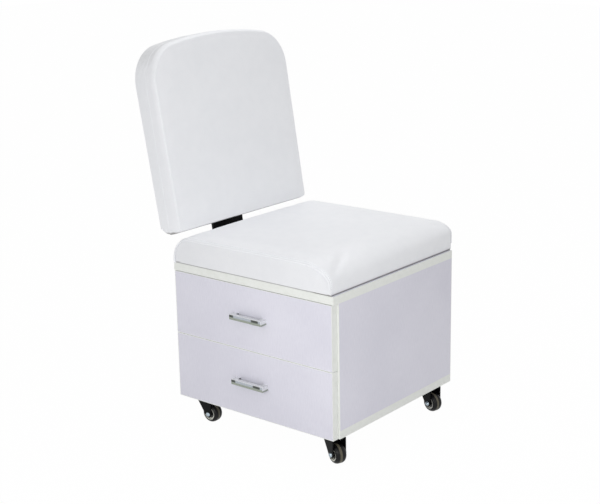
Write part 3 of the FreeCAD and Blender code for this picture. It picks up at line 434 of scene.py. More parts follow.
@dataclass(frozen=True)
class PowderCoat(Finish):
    """Black powder coat with its orange peel, rubbed a little on the high spots."""

    coat: Colour = shade(4, 4, 6)
    rubbed: Colour = shade(12, 12, 14)
    peel: float = 1100.0
    peel_depth: float = 0.05 * MM
    wear: float = 60.0
    wear_contrast: tuple[float, float] = (0.55, 0.8)
    roughness: float = 0.42
    uneven_roughness: float = 0.16
    specular: float = 0.12

    def paint(self, paint: Paint) -> bpy.types.Material:
        """Paints orange peel and rubbed patches.

        Args:
            paint: The material's graph.

        Returns:
            The material.
        """
        peel = paint.noise(self.peel)
        wear = paint.noise(self.wear, detail=4.0)
        return paint.surface(
            Base_Color=paint.blend(wear.ramp(*self.wear_contrast), self.coat, self.rubbed),
            Roughness=self.roughness + peel * self.uneven_roughness,
            Normal=paint.relief(peel, self.peel_depth), Specular_IOR_Level=self.specular)


class Brushing(Enum):
    """The direction of a metal's brush marks, as scales along X, Y and Z."""

    ALONG_Y = (1.0, 0.03, 1.0)
    NONE = (1.0, 1.0, 1.0)


@dataclass(frozen=True)
class PlatedMetal(Finish):
    """Zinc or chrome plate, dulled in patches."""

    plate: Colour
    dull: Colour
    roughness: float
    brushing: Brushing = Brushing.NONE
    brush: float = 2200.0
    brush_share: float = 0.4
    patches: float = 70.0
    patch_share: float = 0.6
    contrast: tuple[float, float] = (0.3, 0.7)
    depth: float = 0.01 * MM
    uneven_roughness: float = 0.5

    def paint(self, paint: Paint) -> bpy.types.Material:
        """Paints fine marks and slow dulling.

        Args:
            paint: The material's graph.

        Returns:
            The material.
        """
        brush = paint.noise(self.brush, place=paint.stretched(self.brushing.value))
        patches = paint.noise(self.patches)
        mixed = patches * self.patch_share + brush * self.brush_share
        uneven = self.roughness * self.uneven_roughness
        return paint.surface(
            Base_Color=paint.blend(mixed.ramp(*self.contrast), self.plate, self.dull),
            Metallic=1.0, Roughness=self.roughness + (brush - NOISE_MEAN) * uneven,
            Normal=paint.relief(brush, self.depth))


@dataclass(frozen=True)
class PullMetal(Finish):
    """Satin plate of a drawer pull, with a painted highlight and a painted reflection of a dim
    room.

    The bands of the front's painted reflection are shares of its height from its foot.
    Its painted dark ends are shares of its length from its far end.
    """

    middle: float
    height: float
    ends: tuple[float, float]
    # painted highlight and painted reflection: top and streak colour the top face's painted
    # highlight; front, lower and dark colour the front face's painted reflection
    top: Colour = shade(238, 239, 241)
    streak: Colour = shade(196, 198, 201)
    front: Colour = shade(176, 182, 190)
    lower: Colour = shade(150, 157, 146)
    dark: Colour = shade(72, 76, 72)
    far_tip: tuple[float, float] = (0.16, 0.12)
    near_tip: tuple[float, float] = (0.68, 0.72)
    near_tip_end: tuple[float, float] = (0.94, 0.90)
    tips_from: tuple[float, float] = (0.35, 0.5)
    lower_band: tuple[float, float] = (0.55, 0.4)
    top_from: tuple[float, float] = (0.9, 0.97)
    end_from: tuple[float, float] = (0.2, 0.4)
    painted_end_highlight: tuple[float, float] = (0.6 * MM, 0.2 * MM)
    brushing: Brushing = Brushing.ALONG_Y
    brush: float = 2200.0
    brush_contrast: tuple[float, float] = (0.4, 0.6)
    brush_share: float = 0.6
    depth: float = 0.01 * MM
    metallic: float = 0.35
    roughness: float = 0.28
    uneven_roughness: float = 0.1

    def paint(self, paint: Paint) -> bpy.types.Material:
        """Paints the front's painted reflection by height and length, and the top's painted
        highlight with grey streaks along it.

        Args:
            paint: The material's graph.

        Returns:
            The material.
        """
        start, end = self.ends
        up = (paint.z - (self.middle - self.height / 2)) * (1 / self.height)
        along = (end - paint.y) * (1 / (end - start))
        brush = paint.noise(self.brush, place=paint.stretched(self.brushing.value))
        # painted reflection on the front: dark ends and a darker lower band; painted highlight: the
        # pale top and the near end face
        near_tip = along.ramp(*self.near_tip) * along.ramp(*self.near_tip_end)
        painted_dark_tips = (along.ramp(*self.far_tip) + near_tip).least(1.0) * up.ramp(*self.tips_from)
        face = paint.blend(up.ramp(*self.lower_band),
                           paint.blend(painted_dark_tips, self.front, self.dark), self.lower)
        painted_top_highlight = paint.blend(brush.ramp(*self.brush_contrast) * self.brush_share,
                               self.top, self.streak)
        painted_end_highlight = paint.y.ramp(*(start + depth for depth in self.painted_end_highlight))
        pale = up.ramp(*self.top_from) + painted_end_highlight * up.ramp(*self.end_from)
        return paint.surface(
            Base_Color=paint.blend(pale.least(1.0), face, painted_top_highlight), Metallic=self.metallic,
            Roughness=self.roughness + (brush - NOISE_MEAN) * self.uneven_roughness,
            Normal=paint.relief(brush, self.depth))


@dataclass(frozen=True)
class WheelFinish(Finish):
    """A finish painted round a wheel's own axle."""

    centre: tuple[float, float, float]
    axle: tuple[float, float, float]

    def along(self, paint: Paint) -> Value:
        """Gives how far a spot lies along the level axle, from the wheel's middle."""
        return ((paint.x - self.centre[0]) * self.axle[0]
                + (paint.y - self.centre[1]) * self.axle[1])


@dataclass(frozen=True)
class TreadRubber(WheelFinish):
    """Dark tyre rubber with a paler band round its tread, just beside the middle."""

    rubber: Colour = shade(10, 10, 12)
    band: Colour = shade(96, 92, 78)
    band_from: float = -4.5 * MM
    band_to: float = 0.5 * MM
    band_blur: float = 0.6 * MM
    band_least: float = 0.75
    band_scuff: float = 0.3
    scuffs: float = 240.0
    scuff_contrast: tuple[float, float] = (0.55, 0.8)
    scuff_share: float = 0.25
    scuff_depth: float = 0.08 * MM
    roughness: float = 0.28
    uneven_roughness: float = 0.2
    specular: float = 0.22

    def paint(self, paint: Paint) -> bpy.types.Material:
        """Paints the band by its distance along the axle.

        Args:
            paint: The material's graph.

        Returns:
            The material.
        """
        along = self.along(paint)
        blur = self.band_blur
        stripe = (along.ramp(self.band_from - blur, self.band_from + blur)
                  * along.ramp(self.band_to + blur, self.band_to - blur))
        scuff = paint.noise(self.scuffs, detail=4.0)
        dusty = paint.blend(scuff.ramp(*self.scuff_contrast) * self.scuff_share,
                            self.rubber, self.band)
        return paint.surface(
            Base_Color=paint.blend(stripe * (self.band_least + scuff * self.band_scuff),
                                   dusty, self.band),
            Roughness=self.roughness + scuff * self.uneven_roughness,
            Normal=paint.relief(scuff, self.scuff_depth), Specular_IOR_Level=self.specular)


@dataclass(frozen=True)
class HubPlastic(WheelFinish):
    """Moulded hub: a pale outer ring round a dark dished middle."""

    ring: Colour = shade(216, 216, 206)
    middle: Colour = shade(22, 22, 24)
    ring_from: float = 9.3 * MM
    ring_blur: float = 0.3 * MM
    scuffs: float = 400.0
    scuff_contrast: tuple[float, float] = (0.5, 0.8)
    scuff_share: float = 0.2
    scuff_depth: float = 0.03 * MM
    roughness: float = 0.3
    uneven_roughness: float = 0.15

    def paint(self, paint: Paint) -> bpy.types.Material:
        """Paints the ring by the distance from the axle.

        Args:
            paint: The material's graph.

        Returns:
            The material.
        """
        x, y, z = (axis - spot for axis, spot in zip((paint.x, paint.y, paint.z), self.centre))
        along = self.along(paint)
        radius = (x * x + y * y + z * z - along * along).root()
        scuff = paint.noise(self.scuffs, detail=3.0)
        tone = paint.blend(
            radius.ramp(self.ring_from - self.ring_blur, self.ring_from + self.ring_blur),
            self.middle, self.ring)
        scuffed = scuff.ramp(*self.scuff_contrast) * self.scuff_share
        return paint.surface(Base_Color=paint.blend(scuffed, tone, self.middle),
                             Roughness=self.roughness + scuff * self.uneven_roughness,
                             Normal=paint.relief(scuff, self.scuff_depth))


@dataclass(frozen=True)
class Plywood(Finish):
    """Raw plywood with its face grain along X."""

    early: Colour = shade(206, 178, 138)
    late: Colour = shade(170, 136, 96)
    grain: float = 140.0
    grain_stretch: tuple[float, float, float] = (0.05, 1.0, 1.0)
    contrast: tuple[float, float] = (0.35, 0.7)
    pores: float = 900.0
    pore_stretch: tuple[float, float, float] = (0.1, 1.0, 1.0)
    depth: float = 0.2 * MM
    roughness: float = 0.7

    def paint(self, paint: Paint) -> bpy.types.Material:
        """Paints long grain with fine pores.

        Args:
            paint: The material's graph.

        Returns:
            The material.
        """
        grain = paint.noise(self.grain, detail=5.0, place=paint.stretched(self.grain_stretch))
        pores = paint.noise(self.pores, place=paint.stretched(self.pore_stretch))
        tone = paint.blend(grain.ramp(*self.contrast), self.early, self.late)
        return paint.surface(Base_Color=tone, Roughness=self.roughness,
                             Normal=paint.relief(grain + pores, self.depth))


@dataclass(frozen=True)
class Hardboard(Finish):
    """Thin pressed board with a pale lacquered face."""

    face: Colour = shade(205, 202, 194)
    fleck: Colour = shade(182, 176, 164)
    fibres: float = 500.0
    contrast: tuple[float, float] = (0.5, 0.72)
    depth: float = 0.06 * MM
    roughness: float = 0.55

    def paint(self, paint: Paint) -> bpy.types.Material:
        """Paints short fibres.

        Args:
            paint: The material's graph.

        Returns:
            The material.
        """
        fibre = paint.noise(self.fibres, detail=4.0)
        tone = paint.blend(fibre.ramp(*self.contrast), self.face, self.fleck)
        return paint.surface(Base_Color=tone, Roughness=self.roughness,
                             Normal=paint.relief(fibre, self.depth))


@dataclass(frozen=True)
class GrainedVinyl(Finish):
    """Vinyl sheet of the rear cover, finely pitted."""

    sheet: Colour = shade(219, 220, 223)
    pit: Colour = shade(198, 199, 203)
    pits: float = 1400.0
    contrast: tuple[float, float] = (0.2, 0.9)
    depth: float = 0.08 * MM
    roughness: float = 0.6

    def paint(self, paint: Paint) -> bpy.types.Material:
        """Paints fine pits.

        Args:
            paint: The material's graph.

        Returns:
            The material.
        """
        pits = paint.cells(self.pits)
        tone = paint.blend(pits.ramp(*self.contrast), self.sheet, self.pit)
        return paint.surface(Base_Color=tone, Roughness=self.roughness,
                             Normal=paint.relief(pits, self.depth))


@dataclass(frozen=True)
class Thread(Finish):
    """Twisted sewing thread."""

    light: Colour = shade(236, 237, 240)
    dark: Colour = shade(196, 198, 203)
    twist: float = 1800.0
    slant: tuple[float, float, float] = (0.6, 0.6, 0.0)
    contrast: tuple[float, float] = (0.35, 0.65)
    depth: float = 0.06 * MM
    roughness: float = 0.55

    def paint(self, paint: Paint) -> bpy.types.Material:
        """Paints the twist as fine slanting marks.

        Args:
            paint: The material's graph.

        Returns:
            The material.
        """
        slanted = paint.stretched(Brushing.NONE.value, self.slant)
        twist = paint.noise(self.twist, detail=1.0, place=slanted)
        tone = paint.blend(twist.ramp(*self.contrast), self.light, self.dark)
        return paint.surface(Base_Color=tone, Roughness=self.roughness,
                             Normal=paint.relief(twist, self.depth))


LEATHER = SyntheticLeather("white_leather")
THREAD = Thread("white_thread")
ZINC = PlatedMetal("zinc_plate", shade(206, 208, 212), shade(176, 180, 186), roughness=0.32)


# -------------------------------------------------------------------- mesh making
def unit(values: Points | float) -> Points:
    """Keeps values between 0 and 1."""
    return np.clip(values, 0, 1)


def fading(distance: Points | float, reach: Points | float, full: float = 0.0) -> Points:
    """Gives a value that falls with distance, from 1 to 0.

    Args:
        distance: How far each point is.
        reach: The length over which the value falls.
        full: Share of the reach over which it is still 1, before it falls.

    Returns:
        The values.
    """
    return unit(1 + full - distance / reach)


def shown(name: str, mesh: bpy.types.Mesh, smooth: bool = True) -> bpy.types.Object:
    """Adds a mesh to the scene as an object at the origin.

    Args:
        name: The object's name.
        mesh: Its mesh.
        smooth: Whether its faces are shaded smooth.

    Returns:
        The object.
    """
    mesh.name = name
    mesh.polygons.foreach_set("use_smooth", [smooth] * len(mesh.polygons))
    made = bpy.data.objects.new(name, mesh)
    bpy.context.scene.collection.objects.link(made)
    return made


def loft(name: str, rings: Sequence[Points], painted_shades: Sequence[Points | float]
         ) -> bpy.types.Object:
    """Joins closed rings of equal count into a solid with flat ends.

    Args:
        name: The object's name.
        rings: Each ring's points, one row each.
        painted_shades: How much painted shade each ring, or each of its points, takes.

    Returns:
        The closed object, faces outwards.
    """
    count = len(rings[0])
    work = bmesh.new()
    # the painted shade of each point goes to an attribute that the leather reads
    shares = work.verts.layers.float.new(PAINTED_SHADE)
    spots = []
    for ring, painted_shade in zip(rings, painted_shades):
        row = [work.verts.new(point) for point in ring]
        for spot, share in zip(row, np.broadcast_to(painted_shade, count)):
            spot[shares] = float(share)
        spots.append(row)
    for lower, upper in zip(spots, spots[1:]):
        for step in range(count):
            after = (step + 1) % count
            work.faces.new((lower[step], lower[after], upper[after], upper[step]))
    work.faces.new(spots[0])
    work.faces.new(spots[-1])
    bmesh.ops.recalc_face_normals(work, faces=work.faces)
    mesh = bpy.data.meshes.new(name)
    work.to_mesh(mesh)
    work.free()
    return shown(name, mesh)


def columns(collection: bpy.types.bpy_prop_collection, name: str) -> Points:
    """Reads a vector of each point of a mesh.

    Args:
        collection: The mesh's vertices.
        name: The vector's name, such as co or normal.

    Returns:
        The vectors, one row each.
    """
    flat = np.empty(len(collection) * 3)
    collection.foreach_get(name, flat)
    return flat.reshape(-1, 3)


def path_mesh(points: Points, closed: bool) -> bpy.types.Mesh:
    """Makes a mesh of edges that follow points.

    Args:
        points: The path, one row each.
        closed: Whether its end joins its start.

    Returns:
        The mesh.
    """
    edges = [(step, step + 1) for step in range(len(points) - 1)]
    if closed:
        edges.append((len(points) - 1, 0))
    mesh = bpy.data.meshes.new("path")
    mesh.from_pydata([tuple(point) for point in points], edges, [])
    return mesh


def bend(centre: tuple[float, float], semi: tuple[float, float],
         start: float, end: float, steps: int = 24) -> list[tuple[float, float]]:
    """Gives points along a stretch of an ellipse.

    Args:
        centre: Its centre.
        semi: Its half axes.
        start: First angle in degrees.
        end: Last angle in degrees.
        steps: Number of steps.

    Returns:
        The points in order.
    """
    angles = np.radians(np.linspace(start, end, steps + 1))
    return [(centre[0] + semi[0] * math.cos(a), centre[1] + semi[1] * math.sin(a))
            for a in angles]


def evened(points: Sequence[Sequence[float]], count: int, closed: bool = False) -> Points:
    """Spaces points evenly along a path.

    Args:
        points: The path.
        count: How many steps it is cut into.
        closed: Whether the path returns to its start.

    Returns:
        The new points, one row each.
    """
    path = np.array(points, float)
    if closed:
        path = np.vstack([path, path[:1]])
    lengths = np.linalg.norm(np.diff(path, axis=0), axis=1)
    apart = lengths > TINY
    path = path[np.concatenate([[True], apart])]
    along = np.concatenate([[0.0], np.cumsum(lengths[apart])])
    marks = np.linspace(0.0, along[-1], count + 1)
    if closed:
        marks = marks[:-1]
    return np.column_stack([np.interp(marks, along, path[:, axis])
                            for axis in range(path.shape[1])])


def drawn_in(path: Points, inset: Points | float, closed: bool) -> Points:
    """Moves a flat path to the right of its direction of travel.

    Args:
        path: Points with two columns.
        inset: How far, for all or for each point.
        closed: Whether the path returns to its start.

    Returns:
        The moved points.
    """
    if closed:
        heading = np.roll(path, -1, axis=0) - np.roll(path, 1, axis=0)
    else:
        heading = np.gradient(path, axis=0)
    heading /= np.linalg.norm(heading, axis=1)[:, None]
    right = np.column_stack([heading[:, 1], -heading[:, 0]])
    return path + right * np.broadcast_to(np.asarray(inset, float), len(path))[:, None]


def snapped(path: Points, piece: bpy.types.Object, lift: float) -> Points:
    """Lays a path on a piece's surface.

    Args:
        path: Points near the surface.
        piece: The piece, its modifiers included.
        lift: How far above the surface the path lies.

    Returns:
        The laid points.
    """
    graph = bpy.context.evaluated_depsgraph_get()
    tree = BVHTree.FromObject(piece, graph)
    laid = []
    for point in path:
        spot, normal, _, _ = tree.find_nearest(Vector(point))
        laid.append(spot + normal * lift)
    return np.array(laid)


def calmed(path: Points, rounds: int) -> Points:
    """Averages a closed path with its neighbours to take the ripple out.

    Args:
        path: The closed path.
        rounds: How many times.

    Returns:
        The calmer path.
    """
    for _ in range(rounds):
        path = (np.roll(path, 1, axis=0) + 2 * path + np.roll(path, -1, axis=0)) / 4
    return path


class Recipe(Graph):
    """A geometry node tree that grows a piece from a path or from points."""

    def __init__(self, name: str) -> None:
        """Makes the tree with its geometry sockets.

        Args:
            name: The tree's name.
        """
        super().__init__(bpy.data.node_groups.new(name, "GeometryNodeTree"))
        for way in ("INPUT", "OUTPUT"):
            self.tree.interface.new_socket("Geometry", in_out=way,
                                           socket_type="NodeSocketGeometry")
        self.source = self.node("NodeGroupInput")
        self.start = self.source.outputs["Geometry"]
        self.sizes: dict[str, float] = {}

    def size(self, name: str, value: float) -> bpy.types.NodeSocket:
        """Adds a named size input.

        Args:
            name: Its label.
            value: Its value in this use.

        Returns:
            The socket that carries it.
        """
        item = self.tree.interface.new_socket(name, in_out="INPUT",
                                              socket_type="NodeSocketFloat")
        self.sizes[item.identifier] = value
        return self.source.outputs[name]

    def step(self, kind: str, sockets: dict, settings: dict | None = None,
             output: str | int = 0) -> bpy.types.NodeSocket:
        """Adds a node and gives one of its outputs."""
        return self.node(kind, settings, sockets).outputs[output]

    def spaced(self, pitch: float) -> bpy.types.NodeSocket:
        """Gives points at even steps along the path that the tree grows from."""
        line = self.step("GeometryNodeMeshToCurve", {"Mesh": self.start})
        return self.step("GeometryNodeResampleCurve",
                         {"Curve": line, "Length": self.size("Pitch", pitch)},
                         {"mode": "LENGTH"})

    def close(self, grown: bpy.types.NodeSocket, finish: Finish) -> None:
        """Ends the tree in plain geometry with a material.

        Args:
            grown: The geometry, its instances included.
            finish: What it is covered with.
        """
        plain = self.step("GeometryNodeRealizeInstances", {"Geometry": grown})
        dressed = self.step("GeometryNodeSetMaterial",
                            {"Geometry": plain, "Material": finish.material()})
        self.node("NodeGroupOutput", None, {"Geometry": dressed})

    def grow(self, name: str, seed: bpy.types.Mesh, smooth: bool = True) -> bpy.types.Object:
        """Runs the tree on a mesh.

        Args:
            name: The new piece's name.
            seed: The path or points that it grows from.
            smooth: Whether it is shaded smooth.

        Returns:
            The piece as a plain mesh object.
        """
        carrier = bpy.data.objects.new(name + "_seed", seed)
        bpy.context.scene.collection.objects.link(carrier)
        modifier = carrier.modifiers.new("recipe", "NODES")
        modifier.node_group = self.tree
        for identifier, value in self.sizes.items():
            modifier[identifier] = value
        graph = bpy.context.evaluated_depsgraph_get()
        mesh = bpy.data.meshes.new_from_object(carrier.evaluated_get(graph), depsgraph=graph)
        bpy.data.objects.remove(carrier)
        return shown(name, mesh, smooth)


@dataclass(frozen=True)
class Welt:
    """A raised cord of leather along a seam."""

    radius: float
    sides: int = 8

    def sew(self, name: str, path: Points, finish: Finish, closed: bool = True
            ) -> bpy.types.Object:
        """Makes the welt along a path.

        Args:
            name: The piece's name.
            path: The seam's points.
            finish: Its leather.
            closed: Whether the seam returns to its start.

        Returns:
            The welt.
        """
        recipe = Recipe(name + "_recipe")
        line = recipe.step("GeometryNodeMeshToCurve", {"Mesh": recipe.start})
        ring = recipe.step("GeometryNodeCurvePrimitiveCircle",
                           {"Resolution": self.sides, "Radius": recipe.size("Radius", self.radius)})
        recipe.close(recipe.step("GeometryNodeCurveToMesh",
                                 {"Curve": line, "Profile Curve": ring, "Fill Caps": True}),
                     finish)
        return recipe.grow(name, path_mesh(path, closed))


@dataclass(frozen=True)
class StitchRow:
    """A row of short thread stitches along a path."""

    pitch: float = 4.2 * MM
    length: float = 3.0 * MM
    thread: float = 0.35 * MM
    segments: int = 6
    rings: int = 5

    def sew(self, name: str, path: Points, finish: Finish, closed: bool = True
            ) -> bpy.types.Object:
        """Makes the stitches along a path.

        Args:
            name: The piece's name.
            path: The row's points, on the leather.
            finish: Its thread.
            closed: Whether the row returns to its start.

        Returns:
            The stitches as one piece.
        """
        recipe = Recipe(name + "_recipe")
        spots = recipe.spaced(self.pitch)
        bead = recipe.step("GeometryNodeMeshUVSphere",
                           {"Segments": self.segments, "Rings": self.rings, "Radius": 0.5})
        thread = recipe.size("Thread", 2 * self.thread)
        scale = recipe.step("ShaderNodeCombineXYZ",
                            {"X": thread, "Y": thread, "Z": recipe.size("Length", self.length)})
        stitch = recipe.step("GeometryNodeTransform", {"Geometry": bead, "Scale": scale})
        tangent = recipe.step("GeometryNodeInputTangent", {})
        turn = recipe.step("FunctionNodeAlignRotationToVector", {"Vector": tangent},
                           {"axis": "Z"})
        recipe.close(recipe.step("GeometryNodeInstanceOnPoints",
                                 {"Points": spots, "Instance": stitch, "Rotation": turn}),
                     finish)
        return recipe.grow(name, path_mesh(path, closed))


@dataclass(frozen=True)
class StapleRow:
    """Wire staples along a path on a flat sheet."""

    pitch: float = 24.0 * MM
    crown: float = 10.0 * MM
    wire: float = 1.0 * MM

    def drive(self, name: str, path: Points, facing: Vector, finish: Finish
              ) -> bpy.types.Object:
        """Makes the staples along a closed path.

        Args:
            name: The piece's name.
            path: The row's points.
            facing: The way the sheet faces.
            finish: The wire's finish.

        Returns:
            The staples as one piece.
        """
        recipe = Recipe(name + "_recipe")
        spots = recipe.spaced(self.pitch)
        wire = recipe.size("Wire", self.wire)
        size = recipe.step("ShaderNodeCombineXYZ",
                           {"X": recipe.size("Crown", self.crown), "Y": wire, "Z": wire})
        bar = recipe.step("GeometryNodeMeshCube", {"Size": size})
        flat = recipe.step("FunctionNodeAlignRotationToVector", {"Vector": tuple(facing)},
                           {"axis": "Z"})
        tangent = recipe.step("GeometryNodeInputTangent", {})
        turn = recipe.step("FunctionNodeAlignRotationToVector",
                           {"Rotation": flat, "Vector": tangent},
                           {"axis": "X", "pivot_axis": "Z"})
        recipe.close(recipe.step("GeometryNodeInstanceOnPoints",
                                 {"Points": spots, "Instance": bar, "Rotation": turn}), finish)
        return recipe.grow(name, path_mesh(path, True), smooth=False)


# --------------------------------------------------------------------- upholstery
@dataclass(frozen=True)
class Stuffing:
    """How a pad's cover is blown up over its foam.

    The cloth swells an even copy of the pad, and each spot of the pad then moves as the
    nearest points of the copy do, its carriers. The nearer ones count more, and evening,
    a share of a voxel, keeps a very near one from counting alone.
    """

    voxel: float = 6.0 * MM
    pressure: float = 4.0
    stiffness: float = 25.0
    bending: float = 2.0
    quality: int = 5
    frames: int = 20
    quick_share: float = 0.7
    carriers: int = 8
    evening: float = 0.5

    def swell(self, pad: bpy.types.Object, hold: Callable[[Points], Points],
              reach: Callable[[Points], Points]) -> None:
        """Moves a closed pad's points as its cover swells.

        Args:
            pad: The pad, slightly smaller than it ends up.
            hold: Gives how firmly each point is held, from 0 to 1.
            reach: Gives how far each point may move.
        """
        rest = columns(pad.data.vertices, "co")
        limit = (1 - unit(hold(rest))) * reach(rest)
        moved = self._carried(rest, *self._blown(pad, hold))
        length = np.linalg.norm(moved, axis=1)
        share = np.where(length > limit, limit / np.maximum(length, TINY), 1.0)
        pad.data.vertices.foreach_set("co", (rest + moved * share[:, None]).ravel())
        pad.data.update()

    def _blown(self, pad: bpy.types.Object, hold: Callable[[Points], Points]
               ) -> tuple[Points, Points]:
        """Runs the cloth on an even copy of the pad.

        Args:
            pad: The pad.
            hold: Gives how firmly each point is held.

        Returns:
            The copy's points and how far each one moves.
        """
        proxy = shown("swelling", pad.data.copy())
        voxels = proxy.modifiers.new("voxels", "REMESH")
        voxels.mode = "VOXEL"
        voxels.voxel_size = self.voxel
        graph = bpy.context.evaluated_depsgraph_get()
        mesh = bpy.data.meshes.new_from_object(proxy.evaluated_get(graph), depsgraph=graph)
        proxy.modifiers.remove(voxels)
        proxy.data = mesh
        rest = columns(mesh.vertices, "co")
        group = proxy.vertex_groups.new(name="held")
        for index, weight in enumerate(unit(hold(rest))):
            if weight > 0:
                group.add([index], float(weight), "REPLACE")
        self._drape(proxy)
        scene = bpy.context.scene
        for step in range(1, self.frames + 1):
            scene.frame_set(step)
        ended = proxy.evaluated_get(bpy.context.evaluated_depsgraph_get())
        moved = columns(ended.data.vertices, "co") - rest
        scene.frame_set(1)
        bpy.data.objects.remove(proxy)
        return rest, moved

    def _drape(self, proxy: bpy.types.Object) -> None:
        """Gives a mesh the cloth of a padded cover.

        Args:
            proxy: The mesh, with its held group.
        """
        cloth = proxy.modifiers.new("cloth", "CLOTH")
        cloth.settings.use_pressure = True
        cloth.settings.uniform_pressure_force = self.pressure
        cloth.settings.effector_weights.gravity = 0.0
        cloth.settings.vertex_group_mass = "held"
        cloth.settings.quality = self.quality
        cloth.settings.tension_stiffness = self.stiffness
        cloth.settings.compression_stiffness = self.stiffness
        cloth.settings.bending_stiffness = self.bending
        cloth.point_cache.frame_end = self.frames

    def _carried(self, spots: Points, points: Points, moves: Points) -> Points:
        """Carries moves known at some points over to other spots nearby.

        Args:
            spots: Where the moves are wanted.
            points: Where they are known.
            moves: The known moves.

        Returns:
            The move of each spot.
        """
        tree = KDTree(len(points))
        for index, point in enumerate(points):
            tree.insert(point, index)
        tree.balance()
        carried = np.empty_like(spots)
        for row, spot in enumerate(spots):
            near = tree.find_n(spot, self.carriers)
            weight = np.array([1 / (gap + self.evening * self.voxel) for _, _, gap in near])
            carried[row] = weight @ moves[[index for _, index, _ in near]] / weight.sum()
        return carried


@dataclass(frozen=True)
class Folds:
    """Tension folds in a pad's band where its leather is pulled round a corner.

    Angles are in degrees about the corner's centre. The folds fade over a share of the
    band at its front and rear, and close to the centre.
    """

    centre: tuple[float, float]
    facing: float
    spread: float
    across: float
    around: float
    depth: float
    fanning: float = 0.006
    minor_share: float = 0.5
    minor_rate: float = 5.3
    front_fade: float = 1 / 5
    rear_fade: float = 1 / 8
    heart: float = 6.0 * MM

    def raised(self, local: Points, band: Points) -> Points:
        """Gives how far each point of an upright pad moves.

        Args:
            local: The points.
            band: Where each lies across the band, 0 at the front and 1 at the rear.

        Returns:
            The moves, one row each.
        """
        side = np.sign(local[:, 0])
        out_x = np.abs(local[:, 0]) - self.centre[0]
        out_z = local[:, 2] - self.centre[1]
        away = np.degrees(np.arctan2(out_z, out_x)) - self.facing
        radius = np.maximum(np.hypot(out_x, out_z), TINY)
        turns = band * self.across * (1 + self.fanning * away) + away * self.around
        wave = np.sin(2 * np.pi * turns + side)
        wave += self.minor_share * np.sin(self.minor_rate * np.pi * turns)
        share = np.exp(-(away / self.spread) ** 2) * unit(band / self.front_fade)
        share *= unit((1 - band) / self.rear_fade) * ((band > 0) & (band < 1))
        height = self.depth * wave * share * unit(radius / self.heart)
        return np.column_stack([height * side * out_x / radius, np.zeros(len(local)),
                                height * out_z / radius])


